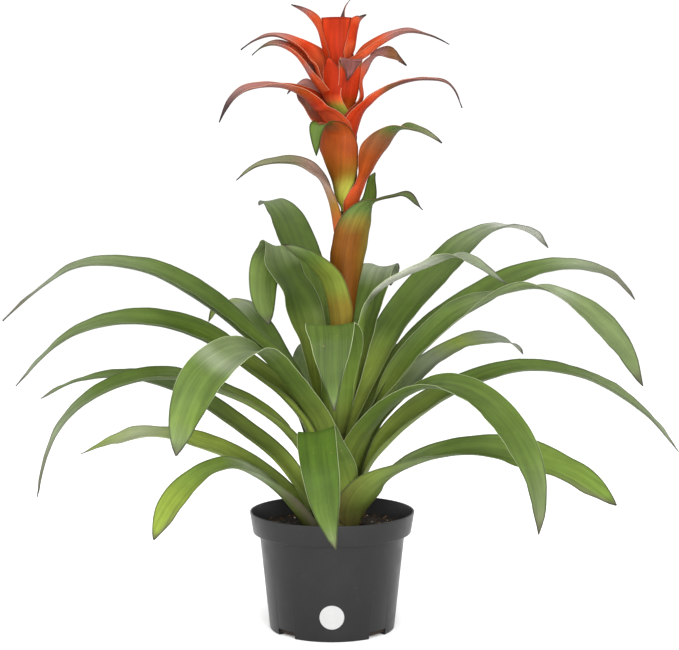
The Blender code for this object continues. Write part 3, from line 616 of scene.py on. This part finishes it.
def blade_material(name, sizes, rim_colour, roughness, specular, speckle):
    """Leaf or bract skin: the blade's own tones, veins, painted shade in a band along the margins, pale
    margins, dry flecks and some glow.
    """
    material, tree = new_material(name)
    tone, lie, edge, pale = (
        node(tree, "ShaderNodeAttribute", attribute_name=key).outputs[output]
        for key, output in (("tone", "Color"), ("lie", "Vector"), ("edge", "Fac"), ("pale", "Fac")))
    veins = use_group("Long veins", lie, sizes.veins)
    shade = more(veins["Streaks"], 0.30, 0.64)
    shade = more(veins["Broad"], 0.34, shade)
    shade = more(blotches(lie, 0.022, 0.35, 0.70), 0.16, shade)
    # Painted shade in a band along the margins, weaker where the margins are pale.
    band = spread(edge, sizes.rim, sizes.band, 0.62, 0.0)
    band = times(band, maths("SUBTRACT", 1.0, pale))
    shade = times(shade, maths("SUBTRACT", 1.0, band))
    flecks = times(blotches(lie, 0.0032, 0.665, 0.74), speckle)
    skin = mixed(flecks, scaled(tone, shade), (0.20, 0.13, 0.06))
    line = spread(edge, sizes.rim * 0.55, sizes.rim * 1.15, 1.0, 0.0)
    skin = mixed(times(line, pale), skin, rim_colour)
    coat(skin, more(veins["Streaks"], 0.12, roughness), specular,
         (veins["Ridges"], 0.35, 0.00035))
    through = node(tree, "ShaderNodeBsdfTranslucent", {"Color": skin})
    blend = node(tree, "ShaderNodeMixShader", {
        0: sizes.glow, 1: tree.nodes["Principled BSDF"].outputs[0], 2: through.outputs[0]})
    feed(blend.outputs[0], tree.nodes["Material Output"].inputs["Surface"])
    return material


def object_place(tree):
    return node(tree, "ShaderNodeTexCoord").outputs["Object"]


def toned(shade, factor):
    return tuple(factor * part for part in shade)


def plastic_material(sizes):
    """Satin moulded plastic with a fine tooth, faint handling marks and a little dust."""
    material, tree = new_material("pot_plastic")
    place = object_place(tree)
    marks = blotches(place, 0.02, 0.40, 0.75)
    dust = times(blotches(place, 0.006, 0.62, 0.80), 0.10)
    body = mixed(times(marks, 0.35), sizes.plastic, toned(sizes.plastic, 1.5))
    coat(mixed(dust, body, sizes.dust), more(marks, 0.10, 0.36), 0.26,
         (tooth(place, 0.0006), 0.25, 0.00015))
    return material


def paper_material(sizes):
    """Blank coated paper with a faint fibre."""
    material, tree = new_material("label_paper")
    place = object_place(tree)
    fibre = tooth(place, 0.0004)
    soil = times(blotches(place, 0.005, 0.50, 0.85), 0.10)
    coat(mixed(soil, sizes.paper, (0.60, 0.58, 0.54)), more(fibre, 0.15, 0.42),
         0.5, (fibre, 0.2, 0.00008))
    return material


def mix_material(name, main, dark_share, size, roughness):
    """Rough grainy finish of peat, bark or perlite with darker patches."""
    material, tree = new_material(name)
    place = object_place(tree)
    patches, grain = blotches(place, size, 0.40, 0.66), tooth(place, 0.0009)
    coat(mixed(patches, main, toned(main, dark_share)), more(grain, 0.2, roughness),
         0.2, (grain, 0.7, 0.0006))
    return material


def stalk_material(colours):
    """Green stalk skin, streaked along its length, darkened as painted shade."""
    material, tree = new_material("stalk_skin")
    place = node(tree, "ShaderNodeMapping", {"Vector": object_place(tree), "Scale": (1, 1, 0.08)})
    streaks = blotches(place.outputs[0], 0.0016, 0.35, 0.65)
    coat(mixed(streaks, colours.stalk, colours.olive), more(streaks, 0.12, 0.45),
         0.08, (streaks, 0.4, 0.0003))
    return material


# ---- shape helpers

def unit(vectors):
    return vectors / np.linalg.norm(vectors, axis=-1, keepdims=True)


def ease(value, start, stop):
    """Smooth step from 0 at start to 1 at stop."""
    part = np.clip((value - start) / (stop - start), 0, 1)
    return part * part * (3 - 2 * part)


def bow(height):
    """How far the plant stands to +X of the pot's axis at a height."""
    return LEAN_SHIFT + BOW * np.exp(-((height - BOW_HEIGHT) / BOW_SPAN) ** 2)


def stem_radius(height):
    """Radius of the stub inside the rosette, and of the stalk above it."""
    if height < STEM_CROWN_HIGH:
        part = (height - STEM_CROWN_LOW) / (STEM_CROWN_HIGH - STEM_CROWN_LOW)
        return STEM_CROWN_RADIUS + (STEM_NECK_RADIUS - STEM_CROWN_RADIUS) * part
    part = (height - STEM_CROWN_HIGH) / (STEM_BOX[1][2] - STEM_CROWN_HIGH)
    return STEM_NECK_RADIUS + (STEM_TOP_RADIUS - STEM_NECK_RADIUS) * part


def wall_radius(pot, height):
    """Outer radius of the pot's tapered wall."""
    return pot.base_radius + (pot.shoulder_radius - pot.base_radius) * height / POT_BAND_FOOT


def rounded(profile, reach, steps=4):
    """Profile of (radius, height) with its inner corners rounded off."""
    points = [Vector(point) for point in profile]
    result = [profile[0]]
    for before, corner, after in zip(points, points[1:], points[2:]):
        first, last = before - corner, after - corner
        cut = min(reach, first.length * 0.45, last.length * 0.45)
        start, stop = corner + first.normalized() * cut, corner + last.normalized() * cut
        for t in (step / steps for step in range(steps + 1)):
            result.append(tuple((1 - t) ** 2 * start + 2 * t * (1 - t) * corner + t * t * stop))
    return result + [profile[-1]]


def turned(profile, steps):
    """Closed turned shape whose profile of (radius, height) starts and ends on the axis."""
    shape = bmesh.new()
    circle = [(math.cos(math.tau * k / steps), math.sin(math.tau * k / steps)) for k in range(steps)]
    rings = [[shape.verts.new((radius * x, radius * y, height))
              for x, y in circle[:steps if radius else 1]] for radius, height in profile]
    for lower, upper in zip(rings, rings[1:]):
        for k in range(steps):
            corners = (lower[(k - 1) % len(lower)], lower[k % len(lower)], upper[k % len(upper)],
                       upper[(k - 1) % len(upper)])
            shape.faces.new(tuple(dict.fromkeys(corners)))
    return shape


def show(name, mesh, material, node_name, smooth_angle):
    """Adds a finished piece, with its place in the frame and its material unless the mesh has one."""
    mesh.name = name
    mesh.shade_smooth()
    mesh.set_sharp_from_angle(angle=math.radians(smooth_angle))
    if material is not None:
        mesh.materials.clear()
        mesh.materials.append(material)
    piece = placed(name, mesh)
    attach(piece, BODY)
    if node_name:
        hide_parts(node_name)


def mesh_of(shape):
    mesh = bpy.data.meshes.new("shape")
    shape.to_mesh(mesh)
    shape.free()
    return mesh


def evaluated_mesh(item):
    """Plain mesh of an object with its modifiers applied; the object goes."""
    graph = bpy.context.evaluated_depsgraph_get()
    mesh = bpy.data.meshes.new_from_object(item.evaluated_get(graph))
    bpy.data.objects.remove(item, do_unlink=True)
    return mesh


def placed(name, data):
    """Object in the scene made from a mesh, a lamp or a camera."""
    item = bpy.data.objects.new(name, data)
    bpy.context.scene.collection.objects.link(item)
    return item


def smooth_path(points, steps):
    """Cubic curve through points, read at places that crowd where it bends."""
    points = np.array([(*point, 0)[:3] for point in points], float)
    gaps = np.linalg.norm(np.diff(points, axis=0), axis=1)
    slopes = np.diff(points, axis=0) / gaps[:, None]
    tangents = np.empty_like(points)
    weight = (gaps[:-1] / (gaps[:-1] + gaps[1:]))[:, None]
    tangents[1:-1] = slopes[:-1] * (1 - weight) + slopes[1:] * weight
    tangents[0] = 1.5 * slopes[0] - 0.5 * tangents[1]
    tangents[-1] = 1.5 * slopes[-1] - 0.5 * tangents[-2]
    fine = []
    for start, stop, first, last, gap in zip(points, points[1:], tangents, tangents[1:], gaps):
        for t in np.arange(0, 1, CURVE_STEP):
            fine.append((2 * t**3 - 3 * t**2 + 1) * start + (t**3 - 2 * t**2 + t) * gap * first
                        + (3 * t**2 - 2 * t**3) * stop + (t**3 - t**2) * gap * last)
    fine = np.array(fine + [points[-1]])
    runs = np.diff(fine, axis=0)
    lengths = np.linalg.norm(runs, axis=1)
    headings = runs / lengths[:, None]
    bends = np.linalg.norm(np.diff(headings, axis=0, prepend=headings[:1]), axis=1)
    effort = np.concatenate([[0], np.cumsum(lengths + BEND_WEIGHT * bends)])
    travel = np.concatenate([[0], np.cumsum(lengths)])
    stops = np.linspace(0, effort[-1], steps + 1)
    path = np.stack([np.interp(stops, effort, fine[:, axis]) for axis in range(3)], axis=1)
    reach = np.interp(stops, effort, travel)
    return path, reach / travel[-1], reach


def soft_steps(part, stops):
    """Value along a blade that passes softly through its values at STOPS or its (place, value) pairs."""
    places, values = zip(*stops) if isinstance(stops[0], tuple) else (STOPS[len(stops)], stops)
    grid = np.linspace(0, 1, SOFT_PLACES)
    fine = np.pad(np.interp(grid, places, values), SOFT_BLEND // 2, mode="edge")
    brush = np.hanning(SOFT_BLEND)
    fine = np.convolve(fine, brush / brush.sum(), mode="valid")
    return np.interp(part, grid, fine)


def blade_surface(blade, form, path, part, across):
    """Middle surface of a blade as rows along it and columns across it, and its half widths."""
    angle = math.radians(blade.azimuth)
    outward = np.array([math.cos(angle), math.sin(angle), 0])
    aside = np.array([-math.sin(angle), math.cos(angle), 0])
    spine = path[:, :1] * outward + path[:, 1:2] * np.array([0, 0, 1]) + path[:, 2:] * aside
    along = unit(np.gradient(spine, axis=0))
    heading = np.arctan2(spine[:, 1], spine[:, 0])
    side = np.stack([-np.sin(heading), np.cos(heading), 0 * heading], axis=1)
    side = unit(side - along * np.sum(side * along, axis=1, keepdims=True))
    face = np.cross(along, side)
    if len(blade.roll) == 2:
        middle, end = blade.roll
        turn = middle * ease(part, *ROLL_START) + (end - middle) * ease(part, *ROLL_CHANGE)
    else:
        turn = soft_steps(part, blade.roll)
    turn = np.radians(turn)[:, None]
    rolled_side = side * np.cos(turn) + face * np.sin(turn)
    rolled_face = face * np.cos(turn) - side * np.sin(turn)
    tip = form.tip * MM
    half = tip / 2 + (blade.width * MM - tip) / 2 * (1 - part ** form.fullness) ** 0.9
    if form.girth:
        half = half * soft_steps(part, form.girth)
    bend = np.radians(np.interp(part, CHANNEL_STOPS, form.channel))[:, None]
    sideways = half[:, None] * np.sin(bend * across) / bend
    inward = half[:, None] * ((1 + np.cos(bend)) / 2 - np.cos(bend * across)) / bend
    free = (spine[:, None] + rolled_side[:, None] * sideways[..., None]
            + rolled_face[:, None] * inward[..., None])
    radius = np.hypot(spine[:, 0], spine[:, 1])[:, None]
    reach = np.minimum(half[:, None] / radius, math.radians(form.wrap))
    around = heading[:, None] + reach * across
    clasping = np.stack([radius * np.cos(around), radius * np.sin(around),
                         np.broadcast_to(spine[:, 2:], around.shape)], axis=2)
    freed = ease(radius, *form.cup)[..., None]
    return clasping * (1 - freed) + free * freed, half


def root_radius(kind, blade, height):
    """Distance of a blade's root from the axis that lays it against the stem."""
    seat = stem_radius(height) + GAP + kind.thickness / 2
    reach = min(blade.width * MM / 2 / seat, math.radians(kind.wrap))
    return seat / math.cos(reach / ROOT_COLUMNS)


def tone_rows(tones, part, colours):
    """Colour of each row of a blade, from its tones and their places."""
    words = tones.split()
    stops = [(int(place) / 100, tuple(getattr(colours, tone)))
             for tone, places in zip(words[::2], words[1::2]) for place in places.split("-")]
    places, shades = zip(*stops)
    return np.stack([np.interp(part, places, channel) for channel in zip(*shades)], axis=1)[:, None]


def tone_grid(blade, form, part, across, colours):
    """Colours over a blade: its own tones, and those of its left and right flank where it has them."""
    grid = np.repeat(tone_rows(blade.tones, part, colours), len(across), axis=1)
    for flank, sign in ((form.right, -1), (form.left, 1)):
        if flank:
            weight = ease(sign * across, 0.05, 0.95)[None, :, None]
            grid += weight * (tone_rows(flank, part, colours) - grid)
    return grid


def ripple_rows(reach, across, amount, number):
    """Gentle waves of both margins, each with its own rhythm."""
    dice = np.random.default_rng(100 + number)
    waves = np.zeros((len(reach), len(across)))
    for sign in (-1, 1):
        line = np.zeros(len(reach))
        for pitch in RIPPLE_PITCHES:
            line += np.sin(math.tau * reach / (pitch * dice.uniform(*PITCH_RANGE))
                           + dice.uniform(0, math.tau))
        waves += line[:, None] * np.clip(sign * across, 0, 1) ** 2
    return waves * amount / 2 * ease(reach, *RIPPLE_START)[:, None]


def put_attribute(mesh, name, kind, field, upper, lower=None):
    """Gives the points of both sides of a blade a value each."""
    layer = mesh.attributes.new(name=name, type=kind, domain="POINT")
    both = np.concatenate([upper, upper if lower is None else lower])
    layer.data.foreach_set(field, np.ascontiguousarray(both, float).ravel())


def blade_mesh(number, blade, kind, root_height, sizes, colours):
    """Closed thin blade with its tones, the distance to its margins and its lengthwise places."""
    form = kind._replace(**blade.form)
    spine = [[value * MM for value in point] for point in blade.spine]
    path, part, reach = smooth_path([(root_radius(kind, blade, root_height), root_height)] + spine,
                                    sizes.rows)
    across = np.linspace(-1, 1, sizes.columns + 1)
    surface, half = blade_surface(blade, form, path, part, across)
    normals = unit(np.cross(np.gradient(surface, axis=0), np.gradient(surface, axis=1)))
    surface = surface + normals * ripple_rows(reach, across, sizes.ripple, number)[..., None]
    thick = kind.thickness / 2 * (sizes.margin_share + (1 - sizes.margin_share) * (1 - across**4))
    thick = normals * thick[None, :, None]
    points = np.concatenate([surface + thick, surface - thick]).reshape(-1, 3)
    points[:, 0] += bow(points[:, 2])

    rows, columns = surface.shape[:2]
    count = rows * columns
    index = np.arange(count).reshape(rows, columns)
    upper = np.stack([index[:-1, :-1], index[1:, :-1], index[1:, 1:], index[:-1, 1:]], axis=2)
    upper = upper.reshape(-1, 4)
    margin = np.concatenate([index[:, 0], index[-1, 1:], index[-2::-1, -1], index[0, -2::-1]])
    rim = np.stack([margin[:-1], margin[:-1] + count, margin[1:] + count, margin[1:]], axis=1)
    mesh = bpy.data.meshes.new("blade")
    mesh.from_pydata(points.tolist(), [], np.concatenate([upper, upper[:, ::-1] + count, rim]).tolist())

    corners = np.empty(len(mesh.loops), int)
    mesh.loops.foreach_get("vertex_index", corners)
    corners %= count
    flat = np.stack([(corners % columns) / (columns - 1), part[corners // columns]], axis=1)
    mesh.uv_layers.new(name="blade").data.foreach_set("uv", flat.ravel())
    tones = np.ones((rows, columns, 4))
    tones[..., :3] = tone_grid(blade, form, part, across, colours)
    tones[..., :3] *= 1 - sizes.dry_tip * ease(part, *DRY_START)[:, None, None]
    put_attribute(mesh, "tone", "FLOAT_COLOR", "color", tones)
    pale = form.pale * (1 - ease(part, *PALE_END))
    put_attribute(mesh, "pale", "FLOAT", "value", np.repeat(pale, columns))
    edge = half[:, None] * (1 - np.abs(across))
    put_attribute(mesh, "edge", "FLOAT", "value", edge)
    lie = np.stack([half[:, None] * across, reach[:, None] + 0 * across,
                    np.full_like(edge, number * PATTERN_STEP)], axis=2)
    put_attribute(mesh, "lie", "FLOAT_VECTOR", "vector", lie, lie + (0, 0, UNDERSIDE_STEP))
    return mesh


# ---- pieces

class BROMELIAD_OT_stage(Operator):
    """Lay the pale floor, hang the soft lights and set up the camera"""

    bl_idname = "bromeliad.stage"
    bl_label = "Stage"

    def execute(self, context):
        sizes = context.scene.bromeliad_stage
        shape = bmesh.new()
        bmesh.ops.create_circle(shape, cap_ends=True, segments=96, radius=sizes.floor_radius)
        floor = placed("stage_floor", mesh_of(shape))
        material, tree = new_material("stage_floor_paint")
        stains = times(blotches(object_place(tree), 0.4, 0.45, 0.65), 0.02)
        coat(mixed(stains, sizes.pale, (0.8, 0.8, 0.8)), 0.9, 0.1)
        floor.data.materials.append(material)
        floor.location.z = -0.2 * MM
        world = bpy.data.worlds.new("stage_surround")
        world.use_nodes = True
        background = world.node_tree.nodes["Background"].inputs
        background["Color"].default_value = (1, 1, 1, 1)
        background["Strength"].default_value = sizes.sky
        context.scene.world = world
        for name, energy, place, size in (("front_light", sizes.front, (0.2, -2.2, 0.9), 1.6),
                                          ("left_light", sizes.left, (-1.5, -1.6, 0.8), 1.3),
                                          ("right_light", sizes.right, (1.7, -1.4, 0.8), 1.3),
                                          ("top_light", sizes.top, (-0.2, 0.2, 2.4), 1.8)):
            lamp = bpy.data.lights.new(name, "AREA")
            lamp.energy, lamp.size = energy, size
            aim_at(placed(name, lamp), place, (0, 0, 0.3))
        context.scene.view_settings.view_transform = "Standard"
        lens = bpy.data.cameras.new("camera")
        lens.lens, lens.sensor_width = sizes.focal, 36
        context.scene.camera = placed("camera", lens)
        aim_at(context.scene.camera, (sizes.aside, -sizes.camera_distance, sizes.camera_height),
               (sizes.aside, 0, sizes.aim_height))
        return {"FINISHED"}


def aim_at(item, place, target):
    item.location = place
    item.rotation_euler = (Vector(target) - Vector(place)).to_track_quat("-Z", "Y").to_euler()


class BROMELIAD_OT_pot(Operator):
    """Make the nursery pot with its rim band and drain notches"""

    bl_idname = "bromeliad.pot"
    bl_label = "Pot"

    def execute(self, context):
        pot = context.scene.bromeliad_pot
        foot = POT_BAND_FOOT
        profile = rounded([
            (0, 0), (pot.base_radius, 0), (pot.shoulder_radius, foot), (pot.band_radius, foot),
            (pot.rim_radius, pot.height), (pot.rim_radius - pot.wall, pot.height),
            (pot.band_radius - pot.wall, foot + pot.wall),
            (pot.shoulder_radius - pot.wall, foot + pot.wall),
            (wall_radius(pot, pot.floor) - pot.wall, pot.floor), (0, pot.floor)], POT_ROUNDING)
        body = placed("pot_body", mesh_of(turned(profile, POT_STEPS)))
        cutters = [self.notch(pot, math.radians(azimuth)) for azimuth in NOTCH_AZIMUTHS]
        for cutter in cutters:
            cut = body.modifiers.new("notch", "BOOLEAN")
            cut.operation, cut.object = "DIFFERENCE", cutter
        soften = body.modifiers.new("soften", "BEVEL")
        soften.width, soften.segments, soften.limit_method = EDGE_ROUNDING, 2, "ANGLE"
        soften.angle_limit = math.radians(50)
        mesh = evaluated_mesh(body)
        for cutter in cutters:
            bpy.data.objects.remove(cutter, do_unlink=True)
        show("nursery_pot", mesh, plastic_material(pot), "pot", smooth_angle=35)
        return {"FINISHED"}

    @staticmethod
    def notch(pot, angle):
        """Block with rounded upper corners that cuts one drain notch."""
        shape = bmesh.new()
        bmesh.ops.create_cube(shape, size=2)
        bmesh.ops.scale(shape, verts=shape.verts,
                        vec=(NOTCH_DEPTH, pot.notch_width / 2, pot.notch_height))
        corners = [edge for edge in shape.edges if all(vert.co.z > 0 for vert in edge.verts)
                   and abs(edge.verts[0].co.y - edge.verts[1].co.y) < MM]
        bmesh.ops.bevel(shape, geom=corners, offset=NOTCH_CORNER, segments=4, profile=0.5,
                        affect="EDGES")
        place = (pot.base_radius * math.cos(angle), pot.base_radius * math.sin(angle), 0)
        bmesh.ops.transform(shape, verts=shape.verts,
                            matrix=Matrix.Translation(place) @ Matrix.Rotation(angle, 4, "Z"))
        return placed("notch", mesh_of(shape))


class BROMELIAD_OT_label(Operator):
    """Lay the blank round paper label on the front of the pot"""

    bl_idname = "bromeliad.label"
    bl_label = "Label"

    def execute(self, context):
        pot = context.scene.bromeliad_pot
        back, front = GAP / 2, GAP + LABEL_THICKNESS
        steps = [k / LABEL_RINGS for k in range(LABEL_RINGS + 1)]
        profile = [(pot.label_radius * step, back) for step in steps]
        profile += [((pot.label_radius - LABEL_EDGE) * step, front) for step in reversed(steps)]
        shape = turned(profile, LABEL_SIDES)
        for vert in shape.verts:
            aside, up, lift = vert.co
            height = pot.label_height + up
            out = wall_radius(pot, height) + lift
            vert.co = (out * math.sin(aside / out), -out * math.cos(aside / out), height)
        show("paper_label", mesh_of(shape), paper_material(pot), "label",
             smooth_angle=35)
        return {"FINISHED"}


def build_scatter_tree():
    """Geometry node tree that strews lumpy crumbs over a surface."""
    tree = bpy.data.node_groups.new("Strewn crumbs", "GeometryNodeTree")
    sockets(tree, "INPUT", [("Surface", "Geometry"), ("Density", "Float"), ("Smallest", "Float"),
                            ("Largest", "Float"), ("Flatness", "Float"), ("Length", "Float"),
                            ("Seed", "Int"), ("Finish", "Material")])
    sockets(tree, "OUTPUT", [("Crumbs", "Geometry")])
    given = node(tree, "NodeGroupInput").outputs
    seed = {"Seed": given["Seed"]}
    points = node(tree, "GeometryNodeDistributePointsOnFaces",
                  {"Mesh": given["Surface"], "Density": given["Density"], **seed})
    size = node(tree, "FunctionNodeRandomValue", {2: given["Smallest"], 3: given["Largest"], **seed},
                data_type="FLOAT")
    turn = node(tree, "FunctionNodeRandomValue",
                {0: (-0.6, -0.6, 0), 1: (0.6, 0.6, math.tau), **seed}, data_type="FLOAT_VECTOR")
    form = node(tree, "ShaderNodeCombineXYZ", {"X": given["Length"], "Y": 1, "Z": given["Flatness"]})
    lump = node(tree, "GeometryNodeMeshIcoSphere", {"Radius": 1, "Subdivisions": 2})
    strewn = node(tree, "GeometryNodeInstanceOnPoints", {
        "Points": points.outputs["Points"], "Instance": lump.outputs["Mesh"],
        "Rotation": turn.outputs[0], "Scale": scaled(form.outputs[0], size.outputs[1])})
    real = node(tree, "GeometryNodeRealizeInstances", {0: strewn.outputs[0]})
    place = node(tree, "GeometryNodeInputPosition")
    rough = node(tree, "ShaderNodeTexNoise", {"Vector": place.outputs[0], "Scale": 900, "Detail": 1})
    centred = node(tree, "ShaderNodeVectorMath", {0: rough.outputs["Color"], 1: (0.5, 0.5, 0.5)},
                   operation="SUBTRACT")
    moved = node(tree, "GeometryNodeSetPosition", {
        "Geometry": real.outputs[0], "Offset": scaled(centred.outputs[0], given["Largest"])})
    dressed = node(tree, "GeometryNodeSetMaterial", {
        "Geometry": moved.outputs[0], "Material": given["Finish"]})
    node(tree, "NodeGroupOutput", {0: dressed.outputs[0]})
    return tree


def strew(name, tree, surface, values):
    """Runs the scatter tree over a surface and keeps the result as a plain piece."""
    item = placed(name + "_points", surface.copy())
    strewing = item.modifiers.new("strew", "NODES")
    strewing.node_group = tree
    for socket in tree.interface.items_tree:
        if socket.in_out == "INPUT" and socket.name in values:
            strewing[socket.identifier] = values[socket.name]
    mesh = evaluated_mesh(item)
    if not mesh.polygons:
        raise RuntimeError(name + " came out empty")
    show(name, mesh, None, None, smooth_angle=30)


class BROMELIAD_OT_soil(Operator):
    """Fill the pot with potting mix and strew crumbs, bark and perlite on it"""

    bl_idname = "bromeliad.soil"
    bl_label = "Soil"

    def execute(self, context):
        soil, pot = context.scene.bromeliad_soil, context.scene.bromeliad_pot
        foot, wall = SOIL_BOX[0][2], SOIL_BOX[1][0]
        floor = wall_radius(pot, pot.floor) - pot.wall - GAP
        shoulder = pot.shoulder_radius - pot.wall - GAP
        step = POT_BAND_FOOT + pot.wall + GAP
        edge, hollow = soil.top - SOIL_FALL, soil.hollow
        profile = [(0, foot), (floor, foot), (shoulder, step), (wall, step), (wall, edge)]
        profile += [(wall + (hollow + CREST_WIDTH - wall) * k / SLOPE_STEPS,
                     edge + SOIL_FALL * k / SLOPE_STEPS) for k in range(1, SLOPE_STEPS + 1)]
        profile += [(hollow + out, soil.top - down) for out, down in HOLLOW_MOUTH]
        profile += [(hollow - HOLLOW_TAPER, HOLLOW_FLOOR), (0, HOLLOW_FLOOR)]
        shape = turned(profile, SOIL_STEPS)
        for vert in shape.verts:
            if vert.co.z > step + MM and hollow - MM < vert.co.xy.length < wall - 0.2 * MM:
                vert.co.z += soil.lumps * (noise.noise(vert.co * LUMP_SCALE) - LUMP_SINK)
        peat = mix_material("potting_mix", soil.peat, 0.45, 0.004, 0.8)
        bed = mesh_of(shape)
        show("soil_bed", bed, peat, "soil", smooth_angle=60)
        top = bmesh.new()
        top.from_mesh(bed)
        bmesh.ops.delete(top, geom=[face for face in top.faces if face.normal.z < 0.3
                                    or face.calc_center_median().z < step + MM
                                    or face.calc_center_median().xy.length > wall - 2 * MM],
                         context="FACES")
        surface = mesh_of(top)
        tree = build_scatter_tree()
        bark = mix_material("bark_chips", soil.chips, 0.4, 0.002, 0.7)
        grain = mix_material("perlite_grains", soil.grains, 0.6, 0.0015, 0.75)
        for k, (name, density, smallest, largest, flatness, long, skin) in enumerate((
                ("soil_crumbs", soil.crumbs, 0.5, 1.5, 0.8, 1.2, peat),
                ("soil_bark", soil.bark, 1.0, 2.6, 0.35, 2.2, bark),
                ("soil_perlite", soil.perlite, 0.7, 1.5, 0.9, 1.1, grain))):
            strew(name, tree, surface, {
                "Density": density, "Smallest": smallest * MM, "Largest": largest * MM,
                "Flatness": flatness, "Length": long, "Seed": soil.seed + k, "Finish": skin})
        bpy.data.meshes.remove(surface)
        return {"FINISHED"}


class BROMELIAD_OT_stalk(Operator):
    """Make the stub inside the rosette and the flower stalk above it"""

    bl_idname = "bromeliad.stalk"
    bl_label = "Stalk"

    def execute(self, context):
        low, high = STEM_BOX[0][2], STEM_BOX[1][2]
        heights = [*np.linspace(STEM_CROWN_LOW, STEM_CROWN_HIGH, CROWN_ROWS),
                   *np.linspace(STEM_CROWN_HIGH, high - MM, STALK_ROWS)[1:]]
        profile = [(0, low), (STEM_FOOT_RADIUS, low)] + [(stem_radius(z), z) for z in heights]
        profile += [(STEM_TOP_RADIUS * 0.7, high - 0.3 * MM), (0, high)]
        shape = turned(profile, STEM_STEPS)
        for vert in shape.verts:
            vert.co.x += bow(vert.co.z)
        skin = stalk_material(context.scene.bromeliad_colours)
        show("flower_stalk", mesh_of(shape), skin, "stem", smooth_angle=50)
        return {"FINISHED"}


def make_blades(context, blades, kind, prefix, first, rim_tone, *skins):
    """Makes one piece for each blade; skins tell the last number, the slot (which is not used) and the
    material's values.
    """
    sizes, colours = context.scene.bromeliad_blades, context.scene.bromeliad_colours
    finishes = [(last, slot, blade_material(name, sizes, getattr(colours, rim_tone), *values))
                for last, slot, name, *values in skins]
    for rank, blade in enumerate(blades):
        number = first + rank
        if blade.root is None:
            root = LEAF_ROOT_LOW + (LEAF_ROOT_HIGH - LEAF_ROOT_LOW) * rank / (len(blades) - 1)
        else:
            root = blade.root * MM
        slot, material = next(skin[1:] for skin in finishes if number <= skin[0])
        name = f"{prefix}_{number:02d}"
        show(name + "_blade", blade_mesh(number, blade, kind, root, sizes, colours), material,
             name, smooth_angle=55)
    return {"FINISHED"}


class BROMELIAD_OT_leaves(Operator):
    """Make the strap leaves of the rosette"""

    bl_idname = "bromeliad.leaves"
    bl_label = "Leaves"

    def execute(self, context):
        return make_blades(context, LEAVES, LEAF, "leaf", 1, "cream",
                           (6, "leaf_lower", "lower_leaf_skin", 0.42, 0.13, 0.7),
                           (25, "leaf_upper", "upper_leaf_skin", 0.40, 0.15, 0.35))


class BROMELIAD_OT_sheaths(Operator):
    """Make the long leaves that clasp the stalk"""

    bl_idname = "bromeliad.sheaths"
    bl_label = "Stalk leaves"

    def execute(self, context):
        return make_blades(context, SHEATHS, SHEATH, "bract", 1, "blush",
                           (3, "stalk_leaf", "stalk_leaf_skin", 0.44, 0.09, 0.3))


class BROMELIAD_OT_bracts(Operator):
    """Make the bracts of the flower head"""

    bl_idname = "bromeliad.bracts"
    bl_label = "Bracts"

    def execute(self, context):
        return make_blades(context, BRACTS, BRACT, "bract", len(SHEATHS) + 1, "blush",
                           (8, "bract_lower", "lower_bract_skin", 0.44, 0.07, 0.25),
                           (22, "bract_upper", "upper_bract_skin", 0.44, 0.06, 0.15))


PIECES = (BROMELIAD_OT_stage, BROMELIAD_OT_pot, BROMELIAD_OT_label, BROMELIAD_OT_soil,
          BROMELIAD_OT_stalk, BROMELIAD_OT_leaves, BROMELIAD_OT_sheaths, BROMELIAD_OT_bracts)


class BROMELIAD_PT_pieces(Panel):
    """Lists the sizes, the colours and the buttons that make the pieces"""

    bl_idname = "BROMELIAD_PT_pieces"
    bl_label = "Potted bromeliad"
    bl_space_type = "VIEW_3D"
    bl_region_type = "UI"
    bl_category = "Bromeliad"

    def draw(self, context):
        layout = self.layout
        for piece in PIECES:
            layout.operator(piece.bl_idname)
        for name in GROUPS:
            values = getattr(context.scene, name)
            layout.label(text=name.replace("bromeliad_", "").capitalize())
            for key in values.bl_rna.properties.keys():
                if key not in {"rna_type", "name"}:
                    layout.prop(values, key)


GROUPS = {"bromeliad_pot": PotSizes, "bromeliad_soil": SoilSizes, "bromeliad_blades": BladeSizes,
          "bromeliad_colours": PlantColours, "bromeliad_stage": StageSizes}


def register():
    for item in (*GROUPS.values(), *PIECES, BROMELIAD_PT_pieces):
        bpy.utils.register_class(item)
    for name, group in GROUPS.items():
        setattr(bpy.types.Scene, name, PointerProperty(type=group))


def unregister():
    for name in GROUPS:
        delattr(bpy.types.Scene, name)
    for item in reversed((*GROUPS.values(), *PIECES, BROMELIAD_PT_pieces)):
        bpy.utils.unregister_class(item)


def main():
    register()
    for make in (bpy.ops.bromeliad.stage, bpy.ops.bromeliad.pot, bpy.ops.bromeliad.label,
                 bpy.ops.bromeliad.soil, bpy.ops.bromeliad.stalk, bpy.ops.bromeliad.leaves,
                 bpy.ops.bromeliad.sheaths, bpy.ops.bromeliad.bracts):
        make()
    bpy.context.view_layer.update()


if __name__ == "__main__":
    main()
